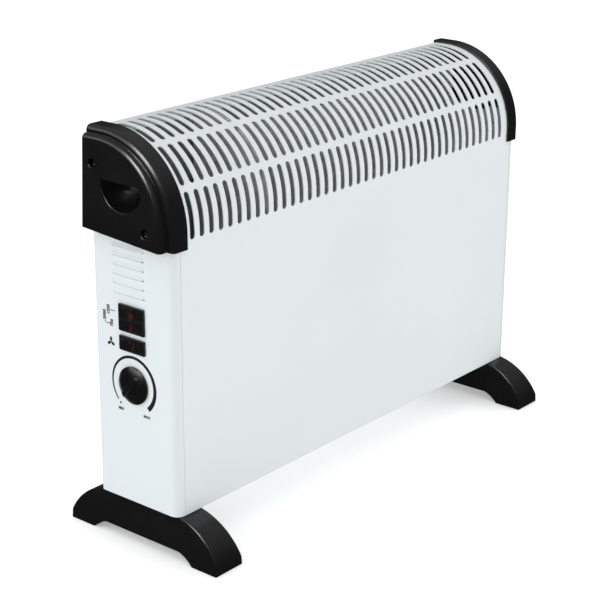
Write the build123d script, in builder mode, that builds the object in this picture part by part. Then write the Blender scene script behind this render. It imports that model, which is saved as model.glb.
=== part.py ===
from build123d import *
import math
import os

# Fan convector heater: a white sheet-steel casing on two black feet, with a
# black cap over each end, rocker switches and a thermostat on the left side,
# two heating elements and an upright fan inside.
#
# Millimetres. X runs along the heater, -Y is the front, +Z is up.
# The origin is on the floor below the middle of the casing.

# ---------------------------------------------------------------- casing
CASING_LENGTH = 523.0
CASING_DEPTH = 95.0
CASING_TOP = 383.1
CASING_BOTTOM = 43.0
GRILLE_RADIUS = 80.0
SHEET = 1.0
CORNER_RADIUS = 9.0
SEAM_GAP = 0.3
FLANGE = 12.0
SIDE_FOOT_FLANGE = 20.0
SIDE_PANEL_TOP = CASING_TOP - 63.1
CORNER_TOP = CASING_TOP - 86.1
EAR_TOP = CASING_TOP - 21.1
EAR_WIDTH = 12.0

LEFT = -CASING_LENGTH / 2
FRONT = -CASING_DEPTH / 2
BACK = CASING_DEPTH / 2
TUCK = BACK - SHEET
GRILLE_Y = FRONT + GRILLE_RADIUS
GRILLE_Z = CASING_TOP - GRILLE_RADIUS
FRONT_HALF = CASING_LENGTH / 2 - CORNER_RADIUS - SEAM_GAP
FLOOR_TOP = CASING_BOTTOM + 2 * SHEET

# ---------------------------------------------------------------- outlet slots
SLOT_WIDTH = 6.0
SLOT_PITCH = 12.02
SLOT_MARGIN = 21.0
SLOT_COUNT = int((CASING_LENGTH - 2 * SLOT_MARGIN) / SLOT_PITCH)
SLOT_SHIFT = -2.6
# each row runs from and to these distances along the bent sheet, from the bend's start
SLOT_ROWS = ((-6.7, 34.7), (40.3, 80.8), (86.7, 131.7))

# ---------------------------------------------------------------- inlets and louvres
INLET_WIDTH = 6.0
INLET_LENGTH = 58.0
INLET_PITCH = 14.0
INLET_MARGIN = 50.0
INLET_COUNT = int((CASING_LENGTH - 2 * INLET_MARGIN) / INLET_PITCH)
BACK_INLET_LENGTH = 26.0
BACK_INLET_HEIGHT = 78.0
LOUVRE_COUNT = 6
LOUVRE_LOWEST = 240.3
LOUVRE_PITCH = 8.45
LOUVRE_LENGTH = 37.5
LOUVRE_MIDDLE_Y = 5.8
LOUVRE_SLIT = 0.8
LOUVRE_PROUD = 1.3
LOUVRE_HEIGHT = 3.6
LOUVRE_LIP = 0.7
LOUVRE_TAPER = 3.5

# ---------------------------------------------------------------- end caps
CAP_PROUD = 2.2
CAP_CLEARANCE = 0.2
CAP_OVERLAP = 16.3
CAP_SHOULDER = 1.9
SHOULDER_RADIUS = 5.0
PANEL_INSET = 4.6
PANEL_RADIUS = 4.4
END_PROUD_TOP = 6.6
END_PROUD_BOTTOM = 11.3
CAP_WALL = 2.2
CAP_HOLLOW = END_PROUD_TOP - CAP_WALL
CAP_FRONT_BOTTOM = CASING_TOP - 93.4
CAP_BACK_BOTTOM = CASING_TOP - 86.7
CAP_SLOPE = (CAP_BACK_BOTTOM - CAP_FRONT_BOTTOM) / (CASING_DEPTH + 2 * CAP_PROUD)
CAP_LEAN = (END_PROUD_BOTTOM - END_PROUD_TOP) / (CASING_TOP + CAP_PROUD - CAP_FRONT_BOTTOM)
SCOOP_RADIUS = 25.0
SCOOP_Y = 2.5
SCOOP_TOP = CASING_TOP - 40.6
SCOOP_CORNER = 7.0
UNDERCUT_HEIGHT = 7.0
UNDERCUT_LIP = 5.0
UNDERCUT_WIDTH = 34.0
CAP_SCREWS = ((38.4, CASING_TOP - 28.4), (-25.1, CASING_TOP - 78.6))
CAP_SCREW_SINKS = (6.0, 4.5)
CAP_SCREW_WELL = 4.3
BOSS_RADIUS = 5.4

# ---------------------------------------------------------------- feet
FOOT_SPAN = 183.0
FOOT_WIDTH_BOTTOM = 34.4
FOOT_WIDTH_TOP = 28.0
FOOT_MIDDLE = -LEFT - 17.7
FOOT_TIP_HEIGHT = 10.0
FOOT_SHOULDER = (75.5, 29.5)
FOOT_ARCH_HEIGHT = 9.5
FOOT_ARCH_HALF = 46.0
FOOT_PAD_INNER = 62.0
FOOT_WALL = 2.6
FOOT_SCREW_Y = 30.0
FOOT_SCREW_SEAT = 35.0

# ---------------------------------------------------------------- screws
SCREW_RADIUS = 1.6
SCREW_HOLE_RADIUS = 1.65
HEAD_RADIUS = 3.1
HEAD_HEIGHT = 2.0
BACK_SCREW_HEIGHTS = (70.0, 175.0, 280.0)
FOOT_SCREW_X = CASING_LENGTH / 2 - 9.5
EDGE_SCREW_X = 120.0

# ---------------------------------------------------------------- switches
SWITCH_Y = 2.9
HEAT_SWITCH_Z = 218.9
FAN_SWITCH_Z = 195.2
BEZEL_LENGTH = 31.0
BEZEL_THICKNESS = 2.0
BEZEL_RIM = 2.0
SWITCH_DEPTH = 20.0
SWITCH_WALL = 1.1
ROCKER_LANE = 9.6
LANE_WALL = 1.6
ROCKER_SIDE_GAP = 0.2
ROCKER_LENGTH = 25.6
ROCKER_END_GAP = 0.6
ROCKER_TILT = 8.0
ROCKER_HORN = 3.4
ROCKER_DIP = 1.6
PIVOT_RADIUS = 1.25
PIVOT_CLEARANCE = 0.05
PIVOT_ENGAGE = 0.5
PANEL_CUT_GAP = 0.2
BLADE = (8.0, 0.8, 6.3)

# ---------------------------------------------------------------- thermostat
DIAL_Y = 3.0
DIAL_Z = 157.4
KNOB_RADIUS = 17.5
KNOB_EDGE = 1.4
KNOB_DOME = 5.4
KNOB_GAP = 0.4
KNOB_RIDGE = 5.0
KNOB_RIDGE_PROUD = 1.2
KNOB_RIDGE_START = -13.0
KNOB_RIDGE_END = 15.5
KNOB_REST_ANGLE = -48.0
KNOB_POINTER = (5.0, 0.7, 0.4)
KNOB_HOLLOW = 2.4
KNOB_BOSS_WALL = 2.2
SHAFT_RADIUS = 3.0
SHAFT_CLEARANCE = 0.05
SHAFT_FLAT = 2.2
SHAFT_GRIP = 5.0
BUSH_RADIUS = 4.9
BUSH_CLEARANCE = 0.05
STAT_SCREW_SPACING = 18.0
STAT_SIZE = (18.0, 26.0, 34.0)
KNOB_HOLLOW_RADIUS = STAT_SCREW_SPACING / 2 + HEAD_RADIUS + 0.5

# ---------------------------------------------------------------- inside plates
BULKHEAD_X = LEFT + 124.0
BULKHEAD_SHEET = 0.8
BULKHEAD_INSET = 2.0
RIGHT_SHIELD_X = -LEFT - 15.5
RIGHT_SHIELD_TOP = 250.0
REFLECTOR_Y = BACK - 7.5
REFLECTOR_TOP = CASING_TOP - 33.1
FRONT_SHIELD_Y = FRONT + 7.5
FRONT_SHIELD_TOP = 275.0
SHIELD_BOTTOM = 62.0
TAB = 9.0
LEAD_HOLE_RADIUS = 4.0

# ---------------------------------------------------------------- heating elements
BOARD_THICKNESS = 0.8
BOARD_Z = (140.0, 196.0)
LOW_BOARD_Y = -14.0
HIGH_BOARD_Y = 14.0
BOARD_END_GAP = 12.0
WIRE = 0.9
WIRE_MARGIN = 5.0
LOW_WIRE_PITCH = 7.2
HIGH_WIRE_PITCH = 5.0
ELEMENT_BRACKET_REACH = 30.0
ELEMENT_BRACKET_HALF = 24.0
STUD_RADIUS = 2.0
STUD_INSET = 9.0
STUD_REACH = 5.0
STUD_Z = 148.0
LEAD_STANDOFF = 8.6
CUTOUT_Z = 232.0

# ---------------------------------------------------------------- fan
FAN_X = 62.0
FAN_PLATE_Z = 105.0
FAN_PLATE_HALF = (52.0, 38.0)
IMPELLER_RADIUS = 33.0
IMPELLER_HEIGHT = 12.0
IMPELLER_HUB = 9.0
BLADE_COUNT = 5
BLADE_PITCH_ANGLE = 32.0
COLLAR_GAP = 2.0
COLLAR_HEIGHT = 12.0
MOTOR_SHAFT_RADIUS = 1.6
MOTOR_CLEARANCE = 0.04
ROTOR_RADIUS = 11.7
AIR_GAP = 0.35
STACK_HEIGHT = 16.0
STACK_HALF = 18.0
COIL_LEG_X = (34.0, 42.0)
COIL_WIND = 6.0
BOBBIN_WALL = 0.8
BOBBIN_HALF = 9.8
BRIDGE_HEIGHT = 12.0
BRIDGE_STRAP = 3.0
BUSH_WALL = 1.6
BUSH_LENGTH = 8.0
MOTOR_SCREW_X = 9.5
HUB_GAP = 4.0

# ---------------------------------------------------------------- supply
GLAND_X = LEFT + 46.5
GLAND_Z = 75.0
GLAND_BORE = 3.75
GLAND_BODY_RADIUS = 6.5
GLAND_HEAD_RADIUS = 9.0
GLAND_HEAD = 3.0
GLAND_REACH = 10.0
BLOCK_X = LEFT + 71.5
BLOCK_Y = 22.0
BLOCK_SIZE = (34.0, 18.0, 15.0)
LEAD_RADIUS = 1.1
LEAD_BEND = 4.0
EARTH_PLACE = (LEFT + 101.5, -14.0)
FAN_LEAD_Y = -28.0
FAN_LEAD_Z = 73.0

os.makedirs("parts", exist_ok=True)


def save(piece, name):
    """Label a finished piece and write it under its own name."""
    piece.label = name
    export_step(piece, f"parts/{name}.step")


def casing_outline(inset, bottom, back):
    """Side view of the casing in (Y, Z), `inset` inside its outer skin."""
    with BuildSketch() as face:
        with BuildLine():
            Line((back, bottom), (FRONT + inset, bottom))
            Line((FRONT + inset, bottom), (FRONT + inset, GRILLE_Z))
            CenterArc((GRILLE_Y, GRILLE_Z), GRILLE_RADIUS - inset, 180, -90)
            Line((GRILLE_Y, CASING_TOP - inset), (back, CASING_TOP - inset))
            Line((back, CASING_TOP - inset), (back, bottom))
        make_face()
    return face.sketch


def rectangle(low, high):
    """A rectangle between two corners of the sketch plane."""
    with BuildSketch() as face:
        with Locations(((low[0] + high[0]) / 2, (low[1] + high[1]) / 2)):
            Rectangle(high[0] - low[0], high[1] - low[1])
    return face.sketch


def block(low, high):
    """A box between two corners."""
    with BuildPart() as box:
        with Locations(tuple((a + b) / 2 for a, b in zip(low, high))):
            Box(*[b - a for a, b in zip(low, high)])
    return box.part


def spaced(count, pitch, middle=0.0):
    """Evenly spaced positions about a middle."""
    return [middle + (i - (count - 1) / 2) * pitch for i in range(count)]


def along_bend(distance, radius):
    """Point in (Y, Z) that lies `distance` along the bend, at `radius` from its centre."""
    bend = GRILLE_RADIUS * math.pi / 2
    if distance < 0:
        return GRILLE_Y - radius, GRILLE_Z + distance
    if distance > bend:
        return GRILLE_Y + distance - bend, GRILLE_Z + radius
    angle = distance / GRILLE_RADIUS
    return GRILLE_Y - radius * math.cos(angle), GRILLE_Z + radius * math.sin(angle)


def slot_cutter(start, end):
    """Cutter for one outlet slot: it follows the bend and has round ends."""
    reach = 4 * SHEET
    first = start + SLOT_WIDTH / 2
    last = end - SLOT_WIDTH / 2
    inner = GRILLE_RADIUS - 3 * reach
    outer = GRILLE_RADIUS + 3 * reach
    wedge = [
        along_bend(first, inner),
        along_bend(first, outer),
        along_bend((first + last) / 2, outer + 3 * reach),
        along_bend(last, outer),
        along_bend(last, inner),
    ]
    with BuildPart() as cutter:
        with BuildSketch(Plane.YZ):
            add(casing_outline(-reach, CASING_BOTTOM, BACK))
            add(casing_outline(reach, CASING_BOTTOM, BACK), mode=Mode.SUBTRACT)
            Polygon(*wedge, align=None, mode=Mode.INTERSECT)
        extrude(amount=SLOT_WIDTH / 2, both=True)
        for station in (first, last):
            near = Vector(0, *along_bend(station, GRILLE_RADIUS - reach))
            far = Vector(0, *along_bend(station, GRILLE_RADIUS + reach))
            with BuildSketch(Plane(origin=near, z_dir=far - near)):
                Circle(SLOT_WIDTH / 2)
            extrude(amount=(far - near).length)
    return cutter.part


# ================================================================ front panel
with BuildPart() as front_panel:
    with BuildSketch(Plane.YZ):
        add(casing_outline(0, CASING_BOTTOM, TUCK))
        add(casing_outline(SHEET, CASING_BOTTOM + SHEET, TUCK - SHEET), mode=Mode.SUBTRACT)
        add(rectangle((FRONT + FLANGE, CASING_BOTTOM - 1), (BACK, GRILLE_Z)), mode=Mode.SUBTRACT)
        add(rectangle((GRILLE_Y, CASING_BOTTOM - 1), (BACK, CASING_TOP - FLANGE)), mode=Mode.SUBTRACT)
    extrude(amount=FRONT_HALF, both=True)
    for row_start, row_end in SLOT_ROWS:
        row_cutter = slot_cutter(row_start, row_end)
        with Locations(*[(x, 0, 0) for x in spaced(SLOT_COUNT, SLOT_PITCH, SLOT_SHIFT)]):
            add(row_cutter, mode=Mode.SUBTRACT)
    top_seats = [Plane((s * EDGE_SCREW_X, BACK, CASING_TOP - FLANGE / 2), z_dir=(0, 1, 0)) for s in (-1, 1)]
    with Locations(*top_seats):
        Hole(SCREW_HOLE_RADIUS, depth=4 * SHEET)
save(front_panel.part, "front_panel")


# ================================================================ side panels
def side_panel(side):
    """Side of the casing, with its rounded front corner and inward flanges."""
    edge = LEFT * -side
    inward = -side
    corner_x = edge + inward * CORNER_RADIUS
    corner_y = FRONT + CORNER_RADIUS
    start = 180 if side < 0 else 0
    with BuildPart() as panel:
        with BuildSketch(Plane.XY.offset(CASING_BOTTOM)):
            with BuildLine():
                Line((edge, TUCK), (edge, corner_y))
                CenterArc((corner_x, corner_y), CORNER_RADIUS, start, -90 * side)
                Line((corner_x, FRONT), (corner_x, FRONT + SHEET))
                CenterArc((corner_x, corner_y), CORNER_RADIUS - SHEET, 270, 90 * side)
                Polyline(
                    (edge + inward * SHEET, corner_y),
                    (edge + inward * SHEET, TUCK - SHEET),
                    (edge + inward * FLANGE, TUCK - SHEET),
                    (edge + inward * FLANGE, TUCK),
                    (edge, TUCK),
                )
            make_face()
        extrude(amount=EAR_TOP - CASING_BOTTOM)
        add(block((-999, FRONT - 1, CORNER_TOP), (999, corner_y, CASING_TOP)), mode=Mode.SUBTRACT)
        add(block((-999, FRONT, SIDE_PANEL_TOP), (999, TUCK - EAR_WIDTH, CASING_TOP)), mode=Mode.SUBTRACT)
        tab = sorted((edge + inward * 5.5, corner_x + inward * FLANGE))
        add(block((tab[0], FRONT + SHEET, FLOOR_TOP + 1), (tab[1], FRONT + 2 * SHEET, CORNER_TOP)))
        flange = sorted((edge, edge + inward * SIDE_FOOT_FLANGE))
        add(block((flange[0], FRONT + FLANGE, CASING_BOTTOM), (flange[1], TUCK, CASING_BOTTOM + SHEET)))
        with BuildSketch(Plane.YZ.offset(edge)):
            with Locations((SCOOP_Y, SCOOP_TOP)):
                Circle(SCOOP_RADIUS + CAP_WALL + 1.0)
        extrude(amount=2 * SHEET, both=True, mode=Mode.SUBTRACT)
        with Locations(*[Plane((edge, y, z), z_dir=(side, 0, 0)).location for y, z in CAP_SCREWS]):
            Hole(SCREW_HOLE_RADIUS, depth=2 * SHEET)
        back_screw_x = edge + inward * FLANGE / 2
        with Locations(*[Plane((back_screw_x, BACK, z), z_dir=(0, 1, 0)).location for z in BACK_SCREW_HEIGHTS]):
            Hole(SCREW_HOLE_RADIUS, depth=4 * SHEET)
        foot_x = side * FOOT_SCREW_X
        with Locations(*[(foot_x, y, CASING_BOTTOM + SHEET) for y in (-FOOT_SCREW_Y, FOOT_SCREW_Y)]):
            Hole(SCREW_HOLE_RADIUS, depth=2 * SHEET)
    return panel.part


def louvre(height):
    """One pressed louvre: a slit below a lip that leans out of the left panel."""
    lip = [
        (LEFT + SHEET, height + LOUVRE_HEIGHT),
        (LEFT, height + LOUVRE_HEIGHT),
        (LEFT - LOUVRE_PROUD, height + LOUVRE_SLIT / 2),
        (LEFT - LOUVRE_PROUD + LOUVRE_LIP, height + LOUVRE_SLIT / 2),
        (LEFT + SHEET, height + LOUVRE_HEIGHT - 1.7 * LOUVRE_LIP),
    ]
    half = LOUVRE_LENGTH / 2
    plan = [
        (LEFT + SHEET, LOUVRE_MIDDLE_Y - half),
        (LEFT, LOUVRE_MIDDLE_Y - half),
        (LEFT - LOUVRE_PROUD, LOUVRE_MIDDLE_Y - half + LOUVRE_TAPER),
        (LEFT - LOUVRE_PROUD, LOUVRE_MIDDLE_Y + half - LOUVRE_TAPER),
        (LEFT, LOUVRE_MIDDLE_Y + half),
        (LEFT + SHEET, LOUVRE_MIDDLE_Y + half),
    ]
    with BuildPart() as pressed:
        with BuildSketch(Plane.XZ.offset(-LOUVRE_MIDDLE_Y)):
            Polygon(*lip, align=None)
        extrude(amount=half, both=True)
        with BuildSketch(Plane.XY.offset(height)):
            Polygon(*plan, align=None)
        extrude(amount=2 * LOUVRE_HEIGHT, mode=Mode.INTERSECT)
    return pressed.part


LOUVRE_HEIGHTS = [LOUVRE_LOWEST + i * LOUVRE_PITCH for i in range(LOUVRE_COUNT)]
HEAT_LANES = 2
FAN_LANES = 1


def switch_width(lanes):
    """Height of a switch body that holds this many rockers side by side."""
    return lanes * ROCKER_LANE + (lanes - 1) * LANE_WALL + 2 * SWITCH_WALL


with BuildPart() as left_side_panel:
    add(side_panel(-1))
    for height in LOUVRE_HEIGHTS:
        slit_low = (LEFT - 1, LOUVRE_MIDDLE_Y - LOUVRE_LENGTH / 2, height - LOUVRE_SLIT / 2)
        slit_high = (LEFT + 2 * SHEET, LOUVRE_MIDDLE_Y + LOUVRE_LENGTH / 2, height + LOUVRE_SLIT / 2)
        add(block(slit_low, slit_high), mode=Mode.SUBTRACT)
        add(louvre(height))
    with BuildSketch(Plane.YZ.offset(LEFT - SHEET)):
        for middle, lanes in ((HEAT_SWITCH_Z, HEAT_LANES), (FAN_SWITCH_Z, FAN_LANES)):
            with Locations((SWITCH_Y, middle)):
                Rectangle(
                    ROCKER_LENGTH + 2 * (ROCKER_END_GAP + SWITCH_WALL + PANEL_CUT_GAP),
                    switch_width(lanes) + 2 * PANEL_CUT_GAP,
                )
        with Locations((DIAL_Y, DIAL_Z)):
            Circle(BUSH_RADIUS + BUSH_CLEARANCE)
        with Locations(*[(DIAL_Y, DIAL_Z + s * STAT_SCREW_SPACING / 2) for s in (-1, 1)]):
            Circle(SCREW_HOLE_RADIUS)
    extrude(amount=3 * SHEET, mode=Mode.SUBTRACT)
save(left_side_panel.part, "left_side_panel")

right_side_panel = side_panel(1)
save(right_side_panel, "right_side_panel")


# ================================================================ rear panel
with BuildPart() as rear_panel:
    rear_low = (LEFT + SEAM_GAP, TUCK, CASING_BOTTOM + SEAM_GAP)
    rear_high = (-LEFT - SEAM_GAP, BACK, CASING_TOP - SEAM_GAP)
    add(block(rear_low, rear_high))
    with BuildSketch(Plane.XZ.offset(-BACK - 1)):
        inlet_places = spaced(INLET_COUNT - 3, INLET_PITCH, 3 * INLET_PITCH)
        with Locations(*[(x, BACK_INLET_HEIGHT) for x in inlet_places]):
            SlotOverall(BACK_INLET_LENGTH, INLET_WIDTH, rotation=90)
        with Locations((GLAND_X, GLAND_Z)):
            Circle(GLAND_BODY_RADIUS)
        with Locations(*[(side * (-LEFT - FLANGE / 2), z) for side in (-1, 1) for z in BACK_SCREW_HEIGHTS]):
            Circle(SCREW_HOLE_RADIUS)
        with Locations(*[(x, z) for x in (-EDGE_SCREW_X, EDGE_SCREW_X) for z in (CASING_TOP - FLANGE / 2, FLOOR_TOP + 6)]):
            Circle(SCREW_HOLE_RADIUS)
    extrude(amount=4 * SHEET, mode=Mode.SUBTRACT)
save(rear_panel.part, "rear_panel")


# ================================================================ base plate
BASE_HALF = CASING_LENGTH / 2 - FLANGE + 0.5
with BuildPart() as base_plate:
    add(block((-BASE_HALF, FRONT + 2 * SHEET, CASING_BOTTOM + SHEET), (BASE_HALF, TUCK - SHEET, FLOOR_TOP)))
    upturn = BASE_HALF - 1.0
    add(block((-upturn, TUCK - SHEET, CASING_BOTTOM + SHEET), (upturn, TUCK, FLOOR_TOP + FLANGE)))
    with BuildSketch(Plane.XY.offset(CASING_BOTTOM)):
        with Locations(*[(x, 0) for x in spaced(INLET_COUNT, INLET_PITCH)]):
            SlotOverall(INLET_LENGTH, INLET_WIDTH, rotation=90)
        with Locations(*[(s * FOOT_SCREW_X, y) for s in (-1, 1) for y in (-FOOT_SCREW_Y, FOOT_SCREW_Y)]):
            Circle(SCREW_HOLE_RADIUS)
    extrude(amount=3 * SHEET, mode=Mode.SUBTRACT)
    with Locations(*[Plane((x, BACK, FLOOR_TOP + 6), z_dir=(0, 1, 0)).location for x in (-EDGE_SCREW_X, EDGE_SCREW_X)]):
        Hole(SCREW_HOLE_RADIUS, depth=4 * SHEET)
save(base_plate.part, "base_plate")


# ================================================================ screws
def screws(seats):
    """Pan-head screws. Each seat is (point under the head, outward direction, length)."""
    with BuildPart() as group:
        for point, outward, length in seats:
            with BuildSketch(Plane(point, z_dir=outward)):
                Circle(SCREW_RADIUS)
            extrude(amount=-length)
            with BuildSketch(Plane(point, z_dir=outward)):
                Circle(HEAD_RADIUS)
            extrude(amount=HEAD_HEIGHT, taper=18)
            tip = Vector(*point) + Vector(*outward) * HEAD_HEIGHT
            with BuildSketch(Plane(tip, z_dir=outward)):
                Rectangle(0.7, 3.0)
                Rectangle(3.0, 0.7)
            extrude(amount=-1.0, mode=Mode.SUBTRACT)
    return group.part


side_flange_x = -LEFT - FLANGE / 2
back_seats = [((s * side_flange_x, BACK, z), (0, 1, 0), 6.0) for s in (-1, 1) for z in BACK_SCREW_HEIGHTS]
back_seats += [((x, BACK, z), (0, 1, 0), 6.0) for x in (-EDGE_SCREW_X, EDGE_SCREW_X) for z in (CASING_TOP - 6, FLOOR_TOP + 6)]
save(screws(back_seats), "rear_panel_screws")


# ================================================================ end caps
def end_proud(height):
    """How far the leaning end face stands beyond the casing at a height."""
    return END_PROUD_TOP + CAP_LEAN * (CASING_TOP + CAP_PROUD - height)


def end_cap(side):
    """Moulded cap: a rim round the casing's end, a raised end face and a finger scoop."""
    edge = side * CASING_LENGTH / 2
    lower = CAP_FRONT_BOTTOM - 30
    spare = 20.0
    rim_start = edge - side * CAP_OVERLAP
    shoulder = edge + side * CAP_SHOULDER
    far = edge + side * 40
    pocket_x = edge + side * end_proud(SCOOP_TOP)

    def trimmed_later(line):
        return line.center().Y > BACK + spare - 1 or line.center().Z < lower + 1

    with BuildPart() as cap:
        with BuildSketch(Plane.YZ.offset(rim_start)):
            add(casing_outline(-CAP_PROUD, lower, BACK + spare))
        extrude(amount=side * (CAP_OVERLAP + CAP_SHOULDER))
        end_face = cap.faces().sort_by(Axis.X)[-1 if side > 0 else 0]
        round_edges = end_face.edges().filter_by(trimmed_later, reverse=True)
        fillet(round_edges, SHOULDER_RADIUS)
        with BuildSketch(Plane.YZ.offset(shoulder - side)):
            add(casing_outline(PANEL_INSET, lower, BACK + spare))
        extrude(amount=side * 20)
        with BuildSketch(Plane.XZ.offset(-BACK - spare - 5)):
            Polygon(
                (edge + side * end_proud(lower - 5), lower - 5),
                (edge + side * end_proud(CASING_TOP + 9), CASING_TOP + 9),
                (far, CASING_TOP + 9),
                (far, lower - 5),
                align=None,
            )
        extrude(amount=CASING_DEPTH + 60, mode=Mode.SUBTRACT)
        end_face = cap.faces().sort_by(Axis.X)[-1 if side > 0 else 0]
        panel_edges = end_face.edges().filter_by(trimmed_later, reverse=True)
        fillet(panel_edges, PANEL_RADIUS)
        # trimmed square at the back and along the sloping lower edge
        add(block((-999, BACK + CAP_PROUD, lower - 9), (999, BACK + 60, CASING_TOP + 60)), mode=Mode.SUBTRACT)
        with BuildSketch(Plane.YZ.offset(rim_start - side * 5)):
            Polygon(
                (FRONT - 20, CAP_FRONT_BOTTOM - 20 * CAP_SLOPE),
                (BACK + 60, CAP_BACK_BOTTOM + 60 * CAP_SLOPE),
                (BACK + 60, lower - 20),
                (FRONT - 20, lower - 20),
                align=None,
            )
        extrude(amount=side * 60, mode=Mode.SUBTRACT)
        # room for the casing's end, and a hollow behind the raised face
        with BuildSketch(Plane.YZ.offset(rim_start - side)):
            add(casing_outline(-CAP_CLEARANCE, lower - 10, BACK + CAP_CLEARANCE))
        extrude(amount=side * (CAP_OVERLAP + 1 + CAP_CLEARANCE), mode=Mode.SUBTRACT)
        with BuildSketch(Plane.YZ.offset(edge)):
            add(casing_outline(PANEL_INSET + CAP_WALL, CAP_BACK_BOTTOM + CAP_WALL, BACK - CAP_WALL))
        extrude(amount=side * CAP_HOLLOW, mode=Mode.SUBTRACT)
        # screw bosses and the scoop's bowl
        with BuildSketch(Plane.YZ.offset(edge + side * CAP_CLEARANCE)):
            with Locations(*CAP_SCREWS):
                Circle(BOSS_RADIUS)
        extrude(amount=side * CAP_HOLLOW)
        add(scoop(side, pocket_x, CAP_WALL))
        add(scoop(side, pocket_x, 0.0), mode=Mode.SUBTRACT)
        for (y, z), sink in zip(CAP_SCREWS, CAP_SCREW_SINKS):
            seat = edge + side * (end_proud(z) - sink)
            with BuildSketch(Plane.YZ.offset(seat)):
                with Locations((y, z)):
                    Circle(CAP_SCREW_WELL)
            extrude(amount=side * 20, mode=Mode.SUBTRACT)
            with BuildSketch(Plane.YZ.offset(edge - side)):
                with Locations((y, z)):
                    Circle(SCREW_HOLE_RADIUS)
            extrude(amount=side * 20, mode=Mode.SUBTRACT)
    return cap.part


def scoop_mouth(radius):
    """Outline of the scoop's opening about its centre: a half circle with its front corner rounded."""
    corner = radius - SCOOP_RADIUS + SCOOP_CORNER
    with BuildSketch() as mouth:
        Circle(radius)
        add(rectangle((-radius, -radius), (radius, radius - SCOOP_RADIUS)), mode=Mode.INTERSECT)
        fillet(mouth.vertices().sort_by(Axis.Y)[-2:].sort_by(Axis.X)[0], corner)
    return mouth.sketch


def scoop(side, face_x, wall):
    """The finger scoop's hollow (wall 0) or its bowl (wall > 0): a quarter ball and an undercut."""
    with BuildPart() as hollow:
        with Locations((face_x, SCOOP_Y, SCOOP_TOP)):
            Sphere(SCOOP_RADIUS + wall)
        with BuildSketch(Plane((face_x, SCOOP_Y, SCOOP_TOP), x_dir=(0, 1, 0), z_dir=(1, 0, 0))):
            add(scoop_mouth(SCOOP_RADIUS + wall))
        extrude(amount=2 * (SCOOP_RADIUS + wall), both=True, mode=Mode.INTERSECT)
        inner = face_x - side * (SCOOP_RADIUS - 6 + wall)
        lip = face_x - side * (UNDERCUT_LIP - wall)
        ends = sorted((inner, lip))
        half = UNDERCUT_WIDTH / 2 + wall
        low = (ends[0], SCOOP_Y - half, SCOOP_TOP - 6)
        high = (ends[1], SCOOP_Y + half, SCOOP_TOP + UNDERCUT_HEIGHT + wall)
        add(block(low, high))
        if wall > 0:
            beyond = sorted((face_x - side * 3.0, face_x + side * 99))
            add(block((beyond[0], -99, 0), (beyond[1], 99, 999)), mode=Mode.SUBTRACT)
    return hollow.part


save(end_cap(-1), "left_end_cap")
save(end_cap(1), "right_end_cap")

cap_seats = []
for cap_side in (-1, 1):
    for (screw_y, screw_z), screw_sink in zip(CAP_SCREWS, CAP_SCREW_SINKS):
        seat_x = cap_side * (CASING_LENGTH / 2 + end_proud(screw_z) - screw_sink)
        cap_seats.append(((seat_x, screw_y, screw_z), (cap_side, 0, 0), 12.0))
save(screws(cap_seats), "end_cap_screws")


# ================================================================ feet
def foot_profile(inset):
    """Side view of a foot in (Y, Z), `inset` inside its outer skin."""
    tip = FOOT_SPAN / 2 - inset
    top = CASING_BOTTOM - inset
    shoulder = tuple(value - 0.8 * inset for value in FOOT_SHOULDER)
    with BuildSketch() as face:
        with BuildLine() as half:
            Line((0, top), (BACK - 3.5, top))
            Line((BACK - 3.5, top), (BACK + 1, top - 1))
            ThreePointArc((BACK + 1, top - 1), shoulder, (tip, FOOT_TIP_HEIGHT))
            if inset == 0:
                Line((tip, FOOT_TIP_HEIGHT), (tip, 0))
                Line((tip, 0), (FOOT_PAD_INNER, 0))
                arch_middle = ((FOOT_PAD_INNER + FOOT_ARCH_HALF) / 2 + 1.5, FOOT_ARCH_HEIGHT / 2 + 0.6)
                ThreePointArc((FOOT_PAD_INNER, 0), arch_middle, (FOOT_ARCH_HALF, FOOT_ARCH_HEIGHT))
                Line((FOOT_ARCH_HALF, FOOT_ARCH_HEIGHT), (0, FOOT_ARCH_HEIGHT))
            else:
                Line((tip, FOOT_TIP_HEIGHT), (tip, inset))
                Line((tip, inset), (0, inset))
            mirror(about=Plane.YZ)
        make_face()
    return face.sketch


def foot_hollow(middle):
    """The space inside a foot, one wall thickness in from its skin."""
    with BuildPart() as hollow:
        with BuildSketch(Plane.YZ.offset(middle)):
            add(foot_profile(FOOT_WALL))
        extrude(amount=FOOT_WIDTH_BOTTOM, both=True)
        add(foot_section(middle, FOOT_WALL), mode=Mode.INTERSECT)
    return hollow.part


def foot(side):
    """Moulded foot: a low bridge, wider at the floor, hollow, with two screw posts."""
    middle = side * FOOT_MIDDLE
    with BuildPart() as shoe:
        with BuildSketch(Plane.YZ.offset(middle)):
            add(foot_profile(0.0))
        extrude(amount=FOOT_WIDTH_BOTTOM, both=True)
        add(foot_section(middle, 0.0), mode=Mode.INTERSECT)
        long_edges = shoe.edges().filter_by(lambda e: abs(e.center().X - middle) > FOOT_WIDTH_TOP / 2 - 1)
        outside = long_edges.filter_by(lambda e: abs(e.center().Y) > BACK + 4)
        fillet(outside.filter_by(lambda e: e.center().Z > FOOT_TIP_HEIGHT + 2), 1.6)
        add(foot_hollow(middle), mode=Mode.SUBTRACT)
        with BuildSketch(Plane.XY.offset(CASING_BOTTOM)):
            with Locations(*[(side * FOOT_SCREW_X, y) for y in (-FOOT_SCREW_Y, FOOT_SCREW_Y)]):
                Circle(4.5)
        extrude(amount=-(CASING_BOTTOM - FOOT_SCREW_SEAT))
        with BuildSketch(Plane.XY.offset(CASING_BOTTOM + 1)):
            with Locations(*[(side * FOOT_SCREW_X, y) for y in (-FOOT_SCREW_Y, FOOT_SCREW_Y)]):
                Circle(SCREW_HOLE_RADIUS)
        extrude(amount=-20, mode=Mode.SUBTRACT)
    return shoe.part


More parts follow.
